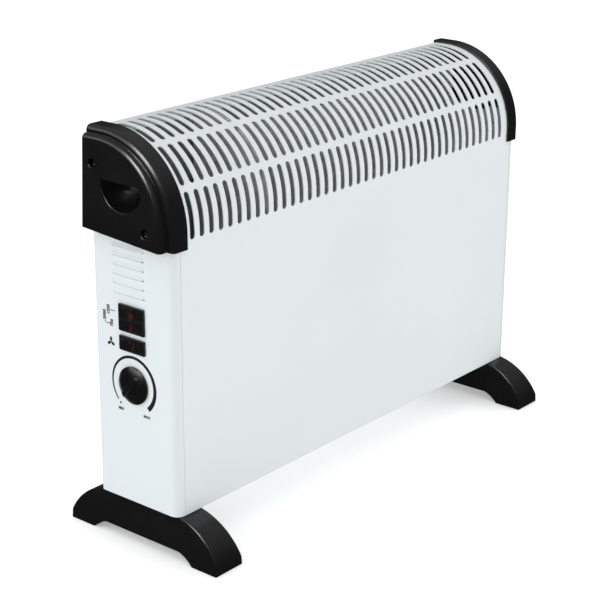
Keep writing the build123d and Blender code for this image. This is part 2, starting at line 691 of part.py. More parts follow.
def foot_section(middle, inset):
    """A long bar with the foot's cross-section: wide at the floor, narrow at the top."""
    low = FOOT_WIDTH_BOTTOM / 2 - inset
    high = FOOT_WIDTH_TOP / 2 - inset
    with BuildPart() as bar:
        with BuildSketch(Plane.XZ.offset(-FOOT_SPAN)):
            Polygon(
                (middle - low, 0),
                (middle + low, 0),
                (middle + high, CASING_BOTTOM),
                (middle - high, CASING_BOTTOM),
                align=None,
            )
        extrude(amount=2 * FOOT_SPAN)
    return bar.part


save(foot(-1), "left_foot")
save(foot(1), "right_foot")

foot_seats = []
for foot_side in (-1, 1):
    for screw_y in (-FOOT_SCREW_Y, FOOT_SCREW_Y):
        foot_seats.append(((foot_side * FOOT_SCREW_X, screw_y, FOOT_SCREW_SEAT), (0, 0, -1), 13.0))
save(screws(foot_seats), "foot_screws")


# ================================================================ switches
PIVOT_X = LEFT


def lane_heights(lanes, middle):
    """Mid-height of each rocker lane."""
    return spaced(lanes, ROCKER_LANE + LANE_WALL, middle)


def switch_housing(lanes, middle):
    """Black switch body with its bezel, an open lane for each rocker and pivot holes."""
    width = switch_width(lanes)
    body_length = ROCKER_LENGTH + 2 * (ROCKER_END_GAP + SWITCH_WALL)
    with BuildPart() as housing:
        with BuildSketch(Plane.YZ.offset(LEFT - BEZEL_THICKNESS)):
            with Locations((SWITCH_Y, middle)):
                RectangleRounded(BEZEL_LENGTH, width + BEZEL_RIM, 1.2)
        extrude(amount=BEZEL_THICKNESS)
        fillet(housing.faces().sort_by(Axis.X)[0].edges(), 0.6)
        with BuildSketch(Plane.YZ.offset(LEFT)):
            with Locations((SWITCH_Y, middle)):
                Rectangle(body_length, width)
        extrude(amount=SWITCH_DEPTH)
        with BuildSketch(Plane.YZ.offset(LEFT - BEZEL_THICKNESS - 1)):
            with Locations(*[(SWITCH_Y, z) for z in lane_heights(lanes, middle)]):
                Rectangle(ROCKER_LENGTH + 2 * ROCKER_END_GAP, ROCKER_LANE)
        extrude(amount=BEZEL_THICKNESS + SWITCH_DEPTH - 3, mode=Mode.SUBTRACT)
        for z in lane_heights(lanes, middle):
            with BuildSketch(Plane.XY.offset(z - ROCKER_LANE / 2 - PIVOT_ENGAGE - 0.1)):
                with Locations((PIVOT_X, SWITCH_Y)):
                    Circle(PIVOT_RADIUS + PIVOT_CLEARANCE)
            extrude(amount=ROCKER_LANE + 2 * PIVOT_ENGAGE + 0.2, mode=Mode.SUBTRACT)
    return housing.part


def rocker(height):
    """One rocker: shallow V face, round belly and two pivot stubs, tipped to its off side."""
    half = ROCKER_LENGTH / 2
    width = ROCKER_LANE - 2 * ROCKER_SIDE_GAP
    face = [
        (-ROCKER_HORN, -half),
        (-ROCKER_DIP, 0),
        (-ROCKER_HORN, half),
        (1.0, half),
        (7.0, 5.0),
        (7.0, -5.0),
        (1.0, -half),
    ]
    tilted = Plane(origin=(PIVOT_X, SWITCH_Y, height), x_dir=(1, 0, 0), z_dir=(0, 0, 1))
    tilted = tilted.rotated((0, 0, ROCKER_TILT))
    with BuildPart() as key:
        with BuildSketch(tilted):
            Polygon(*face, align=None)
        extrude(amount=width / 2, both=True)
        fillet(key.edges().filter_by(Axis.Z).group_by(Axis.X)[0], 0.5)
        with BuildSketch(tilted):
            Circle(PIVOT_RADIUS)
        extrude(amount=ROCKER_LANE / 2 + PIVOT_ENGAGE - ROCKER_SIDE_GAP, both=True)
    return key.part


def blades(places):
    """Push-on terminal blades; each place is the middle of a blade's root and its direction."""
    with BuildPart() as group:
        for (x, y, z), direction in places:
            with Locations((x + direction * BLADE[0] / 2, y, z)):
                Box(BLADE[0], BLADE[1], BLADE[2])
    return group.part


save(switch_housing(HEAT_LANES, HEAT_SWITCH_Z), "heat_switch_housing")
save(switch_housing(FAN_LANES, FAN_SWITCH_Z), "fan_switch_housing")
low_lane, high_lane = lane_heights(HEAT_LANES, HEAT_SWITCH_Z)
save(rocker(high_lane), "low_heat_rocker")
save(rocker(low_lane), "high_heat_rocker")
save(rocker(FAN_SWITCH_Z), "fan_rocker")

BLADE_X = LEFT + SWITCH_DEPTH
heat_blades = [((BLADE_X, SWITCH_Y + dy, z), 1) for dy in (-8, 8) for z in (low_lane, high_lane)]
save(blades(heat_blades), "heat_switch_blades")
save(blades([((BLADE_X, SWITCH_Y + dy, FAN_SWITCH_Z), 1) for dy in (-8, 8)]), "fan_switch_blades")


# ================================================================ thermostat
KNOB_BACK = LEFT - KNOB_GAP
KNOB_FACE = KNOB_BACK - KNOB_EDGE - KNOB_DOME
DOME_RADIUS = (KNOB_RADIUS**2 + KNOB_DOME**2) / (2 * KNOB_DOME)
DOME_CENTRE = KNOB_FACE + DOME_RADIUS
STAT_FRONT = LEFT + SHEET


def dial_plane(x):
    """Sketch plane across the dial's axis, turned so that local X points at the scale's start."""
    return Plane(origin=(x, DIAL_Y, DIAL_Z), x_dir=(0, 1, 0), z_dir=(1, 0, 0)).rotated((KNOB_REST_ANGLE, 0, 0))


with BuildPart() as knob_ridge:
    with BuildSketch(dial_plane(KNOB_BACK - KNOB_EDGE)):
        with Locations(((KNOB_RIDGE_START + KNOB_RIDGE_END) / 2, 0)):
            SlotOverall(KNOB_RIDGE_END - KNOB_RIDGE_START, KNOB_RIDGE)
    extrude(amount=-(KNOB_DOME + 2 * KNOB_RIDGE_PROUD))
    with Locations((DOME_CENTRE, DIAL_Y, DIAL_Z)):
        Sphere(DOME_RADIUS + KNOB_RIDGE_PROUD, mode=Mode.INTERSECT)
    fillet(knob_ridge.faces().sort_by(Axis.X)[0].edges(), KNOB_RIDGE_PROUD / 2)

with BuildPart() as thermostat_knob:
    with BuildSketch(dial_plane(KNOB_BACK)):
        Circle(KNOB_RADIUS)
    extrude(amount=-(KNOB_EDGE + KNOB_DOME))
    with Locations((DOME_CENTRE, DIAL_Y, DIAL_Z)):
        Sphere(DOME_RADIUS, mode=Mode.INTERSECT)
    add(knob_ridge.part)
    with BuildSketch(dial_plane(KNOB_FACE - KNOB_RIDGE_PROUD)):
        with Locations((KNOB_RIDGE_END - KNOB_POINTER[0] / 2 - 1, 0)):
            Rectangle(KNOB_POINTER[0], KNOB_POINTER[1])
    extrude(amount=KNOB_POINTER[2] + KNOB_DOME / 2, mode=Mode.SUBTRACT)
    with BuildSketch(dial_plane(KNOB_BACK)):
        Circle(KNOB_HOLLOW_RADIUS)
        Circle(SHAFT_RADIUS + KNOB_BOSS_WALL, mode=Mode.SUBTRACT)
    extrude(amount=-KNOB_HOLLOW, mode=Mode.SUBTRACT)
    with BuildSketch(dial_plane(KNOB_BACK)):
        Circle(SHAFT_RADIUS)
        with Locations((SHAFT_RADIUS, 0)):
            Rectangle(2 * (SHAFT_RADIUS - SHAFT_FLAT), 2 * SHAFT_RADIUS, mode=Mode.SUBTRACT)
    extrude(amount=-SHAFT_GRIP, mode=Mode.SUBTRACT)
save(thermostat_knob.part, "thermostat_knob")

with BuildPart() as thermostat_shaft:
    with BuildSketch(dial_plane(STAT_FRONT + STAT_SIZE[0] - 3)):
        Circle(SHAFT_RADIUS)
    extrude(amount=-(STAT_SIZE[0] - 3 + SHEET + KNOB_GAP))
    with BuildSketch(dial_plane(KNOB_BACK)):
        Circle(SHAFT_RADIUS)
        with Locations((SHAFT_RADIUS, 0)):
            Rectangle(2 * (SHAFT_RADIUS - SHAFT_FLAT), 2 * SHAFT_RADIUS, mode=Mode.SUBTRACT)
    extrude(amount=-SHAFT_GRIP)
save(thermostat_shaft.part, "thermostat_shaft")

with BuildPart() as thermostat_body:
    low = (STAT_FRONT, DIAL_Y - STAT_SIZE[1] / 2, DIAL_Z - STAT_SIZE[2] / 2)
    high = (STAT_FRONT + STAT_SIZE[0], DIAL_Y + STAT_SIZE[1] / 2, DIAL_Z + STAT_SIZE[2] / 2)
    add(block(low, high))
    fillet(thermostat_body.edges().filter_by(Axis.X), 3.0)
    with BuildSketch(Plane.YZ.offset(LEFT - 0.2)):
        with Locations((DIAL_Y, DIAL_Z)):
            Circle(BUSH_RADIUS)
    extrude(amount=SHEET + 0.2)
    with BuildSketch(Plane.YZ.offset(LEFT - 1)):
        with Locations((DIAL_Y, DIAL_Z)):
            Circle(SHAFT_RADIUS + SHAFT_CLEARANCE)
    extrude(amount=STAT_SIZE[0] + SHEET - 1.8, mode=Mode.SUBTRACT)
    with BuildSketch(Plane.YZ.offset(STAT_FRONT)):
        with Locations(*[(DIAL_Y, DIAL_Z + s * STAT_SCREW_SPACING / 2) for s in (-1, 1)]):
            Circle(SCREW_HOLE_RADIUS)
    extrude(amount=8.0, mode=Mode.SUBTRACT)
save(thermostat_body.part, "thermostat_body")

stat_back = STAT_FRONT + STAT_SIZE[0]
with BuildPart() as thermostat_bimetal:
    for offset, length in ((0.0, 26.0), (1.6, 20.0)):
        add(block((stat_back + offset, DIAL_Y - 4, DIAL_Z - 13), (stat_back + offset + 0.6, DIAL_Y + 4, DIAL_Z - 13 + length)))
    add(block((stat_back, DIAL_Y - 4, DIAL_Z - 13), (stat_back + 2.2, DIAL_Y + 4, DIAL_Z - 8)))
save(thermostat_bimetal.part, "thermostat_bimetal_strip")
stat_blades = [((stat_back, DIAL_Y + dy, DIAL_Z + 8), 1) for dy in (-9, 9)]
save(blades(stat_blades), "thermostat_blades")
stat_seats = [((LEFT, DIAL_Y, DIAL_Z + s * STAT_SCREW_SPACING / 2), (-1, 0, 0), 7.0) for s in (-1, 1)]
save(screws(stat_seats), "thermostat_screws")


# ================================================================ inside plates
def plate_yz(x, thickness, face):
    """Upright plate across the casing, made from a (Y, Z) face."""
    with BuildPart() as plate:
        with BuildSketch(Plane.YZ.offset(x)):
            add(face)
        extrude(amount=thickness)
    return plate.part


BULKHEAD_FACE_X = BULKHEAD_X + BULKHEAD_SHEET
LOW_LEAD_Y = LOW_BOARD_Y - BOARD_THICKNESS / 2 - STUD_REACH - LEAD_STANDOFF
HIGH_LEAD_Y = HIGH_BOARD_Y - BOARD_THICKNESS / 2 - STUD_REACH - LEAD_STANDOFF
LEAD_HOLES = ((LOW_LEAD_Y, STUD_Z), (HIGH_LEAD_Y, STUD_Z), (FAN_LEAD_Y, FAN_LEAD_Z))
with BuildPart() as left_bulkhead:
    add(plate_yz(BULKHEAD_X, BULKHEAD_SHEET, casing_outline(BULKHEAD_INSET, FLOOR_TOP, TUCK - 2 * SHEET)))
    floor_tab = (BULKHEAD_X - TAB, FRONT + BULKHEAD_INSET + 2, FLOOR_TOP)
    add(block(floor_tab, (BULKHEAD_X + 0.1, TUCK - 2 * SHEET, FLOOR_TOP + BULKHEAD_SHEET)))
    with BuildSketch(Plane.YZ.offset(BULKHEAD_X - 1)):
        with Locations(*LEAD_HOLES):
            Circle(LEAD_HOLE_RADIUS)
    extrude(amount=3, mode=Mode.SUBTRACT)
save(left_bulkhead.part, "left_bulkhead")

SHIELD_START = BULKHEAD_FACE_X
with BuildPart() as rear_reflector:
    low = (SHIELD_START, REFLECTOR_Y, SHIELD_BOTTOM)
    add(block(low, (-LEFT - FLANGE - 2, REFLECTOR_Y + BULKHEAD_SHEET, REFLECTOR_TOP)))
    for z in (SHIELD_BOTTOM, REFLECTOR_TOP - BULKHEAD_SHEET):
        add(block((SHIELD_START, REFLECTOR_Y, z), (-LEFT - FLANGE - 2, TUCK, z + BULKHEAD_SHEET)))
save(rear_reflector.part, "rear_reflector")

with BuildPart() as front_shield:
    low = (SHIELD_START, FRONT_SHIELD_Y - BULKHEAD_SHEET, SHIELD_BOTTOM)
    add(block(low, (RIGHT_SHIELD_X, FRONT_SHIELD_Y, FRONT_SHIELD_TOP)))
    for z in (SHIELD_BOTTOM, FRONT_SHIELD_TOP - BULKHEAD_SHEET):
        low = (SHIELD_START, FRONT + 2 * SHEET, z)
        add(block(low, (RIGHT_SHIELD_X - FLANGE, FRONT_SHIELD_Y, z + BULKHEAD_SHEET)))
save(front_shield.part, "front_heat_shield")

with BuildPart() as right_shield:
    low = (RIGHT_SHIELD_X, FRONT_SHIELD_Y - BULKHEAD_SHEET, FLOOR_TOP)
    add(block(low, (RIGHT_SHIELD_X + BULKHEAD_SHEET, REFLECTOR_Y, RIGHT_SHIELD_TOP)))
    for z in (FLOOR_TOP, RIGHT_SHIELD_TOP - BULKHEAD_SHEET):
        reach = BASE_HALF if z == FLOOR_TOP else -LEFT - SHEET
        add(block((RIGHT_SHIELD_X, -30, z), (reach, 30, z + BULKHEAD_SHEET)))
save(right_shield.part, "right_heat_shield")


# ================================================================ heating elements
BRACKET_LEFT = BULKHEAD_FACE_X + ELEMENT_BRACKET_REACH
BRACKET_RIGHT = RIGHT_SHIELD_X - ELEMENT_BRACKET_REACH
BOARD_START = BULKHEAD_FACE_X + BOARD_END_GAP
BOARD_END = RIGHT_SHIELD_X - BOARD_END_GAP


def element_bracket(wall_x, direction):
    """Channel on an end wall; the boards slide into its two slots."""
    web = wall_x + direction * ELEMENT_BRACKET_REACH
    low_z = BOARD_Z[0] - 3
    high_z = BOARD_Z[1] + 3
    half = ELEMENT_BRACKET_HALF
    with BuildPart() as bracket:
        ends = sorted((web, web - direction * BULKHEAD_SHEET))
        add(block((ends[0], -half, low_z), (ends[1], half, high_z)))
        reach = sorted((wall_x, web))
        for z in (low_z, high_z - BULKHEAD_SHEET):
            add(block((reach[0], -half, z), (reach[1], half, z + BULKHEAD_SHEET)))
        for y in (LOW_BOARD_Y, HIGH_BOARD_Y):
            slot_low = (ends[0] - 1, y - BOARD_THICKNESS / 2, BOARD_Z[0])
            add(block(slot_low, (ends[1] + 1, y + BOARD_THICKNESS / 2, BOARD_Z[1])), mode=Mode.SUBTRACT)
            notch_low = (ends[0] - 1, y - 3 * WIRE, STUD_Z - 2)
            add(block(notch_low, (ends[1] + 1, y, STUD_Z + 2)), mode=Mode.SUBTRACT)
    return bracket.part


def board(y):
    """Mica board with a stud hole near each end."""
    with BuildPart() as sheet:
        add(block((BOARD_START, y - BOARD_THICKNESS / 2, BOARD_Z[0]), (BOARD_END, y + BOARD_THICKNESS / 2, BOARD_Z[1])))
        with BuildSketch(Plane.XZ.offset(-y - 2)):
            with Locations(*[(x, STUD_Z) for x in STUDS]):
                Circle(STUD_RADIUS)
        extrude(amount=4, mode=Mode.SUBTRACT)
    return sheet.part


def zigzag(y, pitch):
    """Resistance wire laid in a zigzag on the front of a board, between its studs."""
    first = BRACKET_LEFT + WIRE_MARGIN
    last = BRACKET_RIGHT - WIRE_MARGIN
    turns = int((last - first) / pitch)
    low = BOARD_Z[0] + WIRE_MARGIN
    high = BOARD_Z[1] - WIRE_MARGIN
    start = first + (last - first - turns * pitch) / 2
    points = [(start + i * pitch / 2, low if i % 2 == 0 else high) for i in range(2 * turns + 1)]
    ends = [(STUDS[0] + STUD_RADIUS + 0.05, STUD_Z), (STUDS[1] - STUD_RADIUS - 0.05, STUD_Z)]
    front = y - BOARD_THICKNESS / 2
    with BuildPart() as wire:
        with BuildSketch(Plane.XZ.offset(-front)):
            with BuildLine():
                Polyline(ends[0], (start - WIRE, STUD_Z), *points, (points[-1][0] + WIRE, STUD_Z), ends[1])
            trace(line_width=WIRE)
        extrude(amount=WIRE)
    return wire.part


STUDS = (BOARD_START + STUD_INSET, BOARD_END - STUD_INSET)
save(element_bracket(BULKHEAD_FACE_X, 1), "left_element_bracket")
save(element_bracket(RIGHT_SHIELD_X, -1), "right_element_bracket")
save(board(LOW_BOARD_Y), "low_heat_board")
save(board(HIGH_BOARD_Y), "high_heat_board")
save(zigzag(LOW_BOARD_Y, LOW_WIRE_PITCH), "low_heat_wire")
save(zigzag(HIGH_BOARD_Y, HIGH_WIRE_PITCH), "high_heat_wire")

with BuildPart() as element_studs:
    for y in (LOW_BOARD_Y, HIGH_BOARD_Y):
        with BuildSketch(Plane.XZ.offset(-y - BOARD_THICKNESS / 2)):
            with Locations(*[(x, STUD_Z) for x in STUDS]):
                Circle(STUD_RADIUS)
        extrude(amount=BOARD_THICKNESS + STUD_REACH)
        with BuildSketch(Plane.XZ.offset(-y - BOARD_THICKNESS / 2)):
            with Locations(*[(x, STUD_Z) for x in STUDS]):
                Circle(STUD_RADIUS + 1.6)
        extrude(amount=-1.5)
save(element_studs.part, "element_studs")

with BuildPart() as thermal_cutout:
    with BuildSketch(Plane.YZ.offset(BULKHEAD_FACE_X)):
        with Locations((0, CUTOUT_Z)):
            Circle(8.0)
            Rectangle(30, 9)
    extrude(amount=1.2)
    with BuildSketch(Plane.YZ.offset(BULKHEAD_FACE_X)):
        with Locations((0, CUTOUT_Z)):
            Circle(7.8)
    extrude(amount=9.0)
    add(blades([((BULKHEAD_FACE_X + 9, dy, CUTOUT_Z), 1) for dy in (-4, 4)]))
save(thermal_cutout.part, "thermal_cutout")


# ================================================================ fan
PLATE_TOP = FAN_PLATE_Z
COLLAR_INNER = IMPELLER_RADIUS + COLLAR_GAP
with BuildPart() as fan_bracket:
    px, py = FAN_PLATE_HALF
    add(block((FAN_X - px, -py, PLATE_TOP - SHEET), (FAN_X + px, py, PLATE_TOP)))
    with BuildSketch(Plane.XY.offset(PLATE_TOP - 2)):
        with Locations((FAN_X, 0)):
            Circle(COLLAR_INNER)
            Circle(IMPELLER_HUB + 5, mode=Mode.SUBTRACT)
            with PolarLocations(0, 3, start_angle=45):
                Rectangle(80, 6, align=(Align.MIN, Align.CENTER), mode=Mode.SUBTRACT)
    extrude(amount=4, mode=Mode.SUBTRACT)
    with BuildSketch(Plane.XY.offset(PLATE_TOP)):
        with Locations((FAN_X, 0)):
            Circle(COLLAR_INNER + 0.8)
            Circle(COLLAR_INNER, mode=Mode.SUBTRACT)
    extrude(amount=COLLAR_HEIGHT)
    for direction in (-1, 1):
        leg = sorted((FAN_X + direction * px, FAN_X + direction * (px - SHEET)))
        add(block((leg[0], -py, FLOOR_TOP), (leg[1], py, PLATE_TOP)))
        toe = sorted((FAN_X + direction * (px + TAB), FAN_X + direction * (px - SHEET)))
        add(block((toe[0], -py, FLOOR_TOP), (toe[1], py, FLOOR_TOP + SHEET)))
    with BuildSketch(Plane.XY.offset(PLATE_TOP - 2)):
        with Locations((FAN_X, 0)):
            Circle(3.0)
            with Locations((-MOTOR_SCREW_X, 0), (MOTOR_SCREW_X, 0)):
                Circle(SCREW_HOLE_RADIUS)
    extrude(amount=4, mode=Mode.SUBTRACT)
    with BuildSketch(Plane.YZ.offset(FAN_X - px - 1)):
        with Locations((FAN_LEAD_Y, FAN_LEAD_Z)):
            Circle(LEAD_HOLE_RADIUS)
    extrude(amount=3, mode=Mode.SUBTRACT)
save(fan_bracket.part, "fan_bracket")


STACK_TOP = PLATE_TOP - SHEET - BRIDGE_HEIGHT
STACK_BOTTOM = STACK_TOP - STACK_HEIGHT
MOTOR_BOTTOM = STACK_BOTTOM - BRIDGE_HEIGHT
BUSH_OUTER = MOTOR_SHAFT_RADIUS + MOTOR_CLEARANCE + BUSH_WALL
ROTOR_BORE = ROTOR_RADIUS + AIR_GAP
HUB_BOTTOM = PLATE_TOP + HUB_GAP

with BuildPart() as motor_stator:
    with BuildSketch(Plane.XY.offset(STACK_BOTTOM)):
        with Locations((FAN_X, 0)):
            RectangleRounded(2 * STACK_HALF, 2 * STACK_HALF, 2.0)
        add(rectangle((FAN_X, -STACK_HALF), (FAN_X + COIL_LEG_X[1], STACK_HALF)))
        add(rectangle((FAN_X + STACK_HALF, -10), (FAN_X + COIL_LEG_X[0], 10)), mode=Mode.SUBTRACT)
        with Locations((FAN_X, 0)):
            Circle(ROTOR_BORE, mode=Mode.SUBTRACT)
    extrude(amount=STACK_HEIGHT)
save(motor_stator.part, "motor_stator")


def winding(low_gap, high_gap, half):
    """A ring of rectangular section wound round the stator's coil leg, along Y."""
    inner_low = (FAN_X + COIL_LEG_X[0] - low_gap, -half, STACK_BOTTOM - low_gap)
    inner_high = (FAN_X + COIL_LEG_X[1] + low_gap, half, STACK_TOP + low_gap)
    outer_low = (FAN_X + COIL_LEG_X[0] - high_gap, -half, STACK_BOTTOM - high_gap)
    outer_high = (FAN_X + COIL_LEG_X[1] + high_gap, half, STACK_TOP + high_gap)
    with BuildPart() as ring:
        add(block(outer_low, outer_high))
        fillet(ring.edges().filter_by(Axis.Y), 1.5)
        add(block(inner_low, inner_high), mode=Mode.SUBTRACT)
    return ring.part


with BuildPart() as coil_bobbin:
    add(winding(0.0, BOBBIN_WALL + 0.8, BOBBIN_HALF))
    flange_ring = winding(0.0, COIL_WIND, BOBBIN_HALF)
    keep = block((FAN_X, -BOBBIN_HALF + BOBBIN_WALL, 0), (FAN_X + 99, BOBBIN_HALF - BOBBIN_WALL, 999))
    add(flange_ring)
    add(keep, mode=Mode.SUBTRACT)
    add(winding(0.0, BOBBIN_WALL, BOBBIN_HALF))
save(coil_bobbin.part, "coil_bobbin")
save(winding(BOBBIN_WALL, COIL_WIND - 0.5, BOBBIN_HALF - BOBBIN_WALL), "motor_coil")


def bridge(face_z, direction):
    """Strap that carries one motor bush; its legs stand on the stack."""
    outer = face_z + direction * BRIDGE_HEIGHT
    strap = outer - direction * BRIDGE_STRAP
    boss = outer - direction * BUSH_LENGTH
    with BuildPart() as arch:
        z_ends = sorted((strap, outer))
        add(block((FAN_X - 17, -6, z_ends[0]), (FAN_X + 17, 6, z_ends[1])))
        for side in (-1, 1):
            x_ends = sorted((FAN_X + side * 14, FAN_X + side * 17))
            z_ends = sorted((face_z, outer))
            add(block((x_ends[0], -6, z_ends[0]), (x_ends[1], 6, z_ends[1])))
        with BuildSketch(Plane.XY.offset(boss)):
            with Locations((FAN_X, 0)):
                Circle(BUSH_OUTER + 2.0)
        extrude(amount=direction * BUSH_LENGTH)
        with BuildSketch(Plane.XY.offset(boss - direction)):
            with Locations((FAN_X, 0)):
                Circle(BUSH_OUTER)
            with Locations(*[(FAN_X + s * MOTOR_SCREW_X, 0) for s in (-1, 1)]):
                Circle(SCREW_HOLE_RADIUS)
        extrude(amount=direction * 20, mode=Mode.SUBTRACT)
    return arch.part


def bush(start):
    """Plain bush for the motor shaft."""
    with BuildPart() as sleeve:
        with BuildSketch(Plane.XY.offset(start)):
            with Locations((FAN_X, 0)):
                Circle(BUSH_OUTER)
                Circle(MOTOR_SHAFT_RADIUS + MOTOR_CLEARANCE, mode=Mode.SUBTRACT)
        extrude(amount=BUSH_LENGTH)
    return sleeve.part


save(bridge(STACK_TOP, 1), "upper_motor_bridge")
save(bridge(STACK_BOTTOM, -1), "lower_motor_bridge")
with BuildPart() as motor_bushes:
    add(bush(STACK_TOP + BRIDGE_HEIGHT - BUSH_LENGTH))
    add(bush(MOTOR_BOTTOM))
save(motor_bushes.part, "motor_bushes")
motor_seats = [((FAN_X + s * MOTOR_SCREW_X, 0, PLATE_TOP), (0, 0, 1), SHEET + BRIDGE_STRAP) for s in (-1, 1)]
save(screws(motor_seats), "motor_screws")


def disc(bottom, top, outer, bore):
    """A ring about the fan's axis."""
    with BuildPart() as ring:
        with BuildSketch(Plane.XY.offset(bottom)):
            with Locations((FAN_X, 0)):
                Circle(outer)
                Circle(bore, mode=Mode.SUBTRACT)
        extrude(amount=top - bottom)
    return ring.part


HUB_TOP = HUB_BOTTOM + IMPELLER_HEIGHT
with BuildPart() as fan_shaft:
    with BuildSketch(Plane.XY.offset(MOTOR_BOTTOM - 2)):
        with Locations((FAN_X, 0)):
            Circle(MOTOR_SHAFT_RADIUS)
    extrude(amount=HUB_TOP + 2 - MOTOR_BOTTOM + 2)
save(fan_shaft.part, "fan_shaft")
save(disc(STACK_BOTTOM + 1, STACK_TOP - 1, ROTOR_RADIUS, MOTOR_SHAFT_RADIUS), "motor_rotor")

with BuildPart() as impeller:
    add(disc(HUB_BOTTOM, HUB_TOP, IMPELLER_HUB, MOTOR_SHAFT_RADIUS))
    chord = IMPELLER_HEIGHT / math.sin(math.radians(BLADE_PITCH_ANGLE)) - 2.5
    for turn in range(BLADE_COUNT):
        angle = 360 / BLADE_COUNT * turn
        root = Plane(origin=(FAN_X, 0, (HUB_BOTTOM + HUB_TOP) / 2)).rotated((0, 0, angle))
        radial = Plane(origin=root.origin, x_dir=root.y_dir, z_dir=root.x_dir)
        with BuildSketch(radial.offset(IMPELLER_HUB - 1.0)):
            with BuildLine():
                half = chord / 2
                dip = (half * math.cos(math.radians(BLADE_PITCH_ANGLE)), half * math.sin(math.radians(BLADE_PITCH_ANGLE)))
                ThreePointArc((-dip[0], -dip[1]), (1.2, -1.6), dip)
            trace(line_width=1.3)
        extrude(amount=IMPELLER_RADIUS - IMPELLER_HUB + 6)
    add(disc(HUB_BOTTOM, HUB_TOP, IMPELLER_RADIUS, MOTOR_SHAFT_RADIUS), mode=Mode.INTERSECT)
save(impeller.part, "fan_impeller")
save(disc(HUB_TOP, HUB_TOP + 1, 4.0, MOTOR_SHAFT_RADIUS), "impeller_clip")


# ================================================================ supply and leads
with BuildPart() as cable_gland:
    with BuildSketch(Plane.XZ.offset(-BACK)):
        with Locations((GLAND_X, GLAND_Z)):
            Circle(GLAND_HEAD_RADIUS)
    extrude(amount=-GLAND_HEAD)
    fillet(cable_gland.faces().sort_by(Axis.Y)[-1].edges(), 1.0)
    with BuildSketch(Plane.XZ.offset(-BACK)):
        with Locations((GLAND_X, GLAND_Z)):
            Circle(GLAND_BODY_RADIUS)
    extrude(amount=GLAND_REACH)
    with BuildSketch(Plane.XZ.offset(-BACK - GLAND_HEAD - 1)):
        with Locations((GLAND_X, GLAND_Z)):
            Circle(GLAND_BORE)
    extrude(amount=GLAND_REACH + GLAND_HEAD + 2, mode=Mode.SUBTRACT)
save(cable_gland.part, "cable_gland")

BLOCK_TOP = FLOOR_TOP + BLOCK_SIZE[2]
BLOCK_LANES = spaced(3, 11.0, BLOCK_X)
BLOCK_BORE_Z = FLOOR_TOP + 6.0
with BuildPart() as terminal_block:
    low = (BLOCK_X - BLOCK_SIZE[0] / 2, BLOCK_Y - BLOCK_SIZE[1] / 2, FLOOR_TOP)
    add(block(low, (BLOCK_X + BLOCK_SIZE[0] / 2, BLOCK_Y + BLOCK_SIZE[1] / 2, BLOCK_TOP)))
    fillet(terminal_block.edges().filter_by(Axis.Y).group_by(Axis.Z)[-1], 1.5)
    with BuildSketch(Plane.XZ.offset(-BLOCK_Y - BLOCK_SIZE[1])):
        with Locations(*[(x, BLOCK_BORE_Z) for x in BLOCK_LANES]):
            Circle(2.2)
    extrude(amount=2 * BLOCK_SIZE[1], mode=Mode.SUBTRACT)
    with BuildSketch(Plane.XY.offset(BLOCK_TOP + 1)):
        with Locations(*[(x, BLOCK_Y + dy) for x in BLOCK_LANES for dy in (-4.5, 4.5)]):
            Circle(2.0)
    extrude(amount=-BLOCK_SIZE[2] + 6, mode=Mode.SUBTRACT)
save(terminal_block.part, "terminal_block")

with BuildPart() as terminal_screws:
    with BuildSketch(Plane.XY.offset(BLOCK_BORE_Z + 3)):
        with Locations(*[(x, BLOCK_Y + dy) for x in BLOCK_LANES for dy in (-4.5, 4.5)]):
            Circle(1.9)
    extrude(amount=5.0)
save(terminal_screws.part, "terminal_screws")

with BuildPart() as earth_stud:
    with BuildSketch(Plane.XY.offset(FLOOR_TOP)):
        with Locations(EARTH_PLACE):
            Circle(4.2)
    extrude(amount=1.5)
    with BuildSketch(Plane.XY.offset(FLOOR_TOP)):
        with Locations(EARTH_PLACE):
            Circle(2.0)
    extrude(amount=14.0)
save(earth_stud.part, "earth_stud")
with BuildPart() as earth_nut:
    with BuildSketch(Plane.XY.offset(FLOOR_TOP + 1.5)):
        with Locations(EARTH_PLACE):
            RegularPolygon(4.04, 6)
            Circle(2.0, mode=Mode.SUBTRACT)
    extrude(amount=3.2)
save(earth_nut.part, "earth_nut")


def lead(*points):
    """One insulated wire along straight runs with rounded bends."""
    with BuildPart() as wire:
        with BuildLine():
            path = FilletPolyline(*points, radius=LEAD_BEND)
        start = Vector(*points[0])
        with BuildSketch(Plane(origin=start, z_dir=Vector(*points[1]) - start)):
            Circle(LEAD_RADIUS)
        sweep(path=path)
    return wire.part


def group(*solids):
    """Several separate solids kept together in one node."""
    with BuildPart() as together:
        for solid in solids:
            add(solid)
    return together.part


TIP_X = BLADE_X + BLADE[0]
FRONT_ROW = SWITCH_Y - 8
BACK_ROW = SWITCH_Y + 8
BLOCK_FRONT = BLOCK_Y - BLOCK_SIZE[1] / 2
BLOCK_BACK = BLOCK_Y + BLOCK_SIZE[1] / 2
lanes = BLOCK_LANES
save(
    group(
        lead(
            (TIP_X, FRONT_ROW, high_lane),
            (TIP_X + 24, FRONT_ROW, high_lane),
            (TIP_X + 24, FRONT_ROW, BLOCK_BORE_Z),
            (lanes[0], FRONT_ROW, BLOCK_BORE_Z),
            (lanes[0], BLOCK_FRONT, BLOCK_BORE_Z),
        ),
        lead(
            (TIP_X, FRONT_ROW, FAN_SWITCH_Z),
            (TIP_X + 14, FRONT_ROW, FAN_SWITCH_Z),
            (TIP_X + 14, FRONT_ROW - 14, FAN_SWITCH_Z),
            (TIP_X + 14, FRONT_ROW - 14, BLOCK_BORE_Z),
            (lanes[1], FRONT_ROW - 14, BLOCK_BORE_Z),
            (lanes[1], BLOCK_FRONT, BLOCK_BORE_Z),
        ),
    ),
    "supply_leads",
)
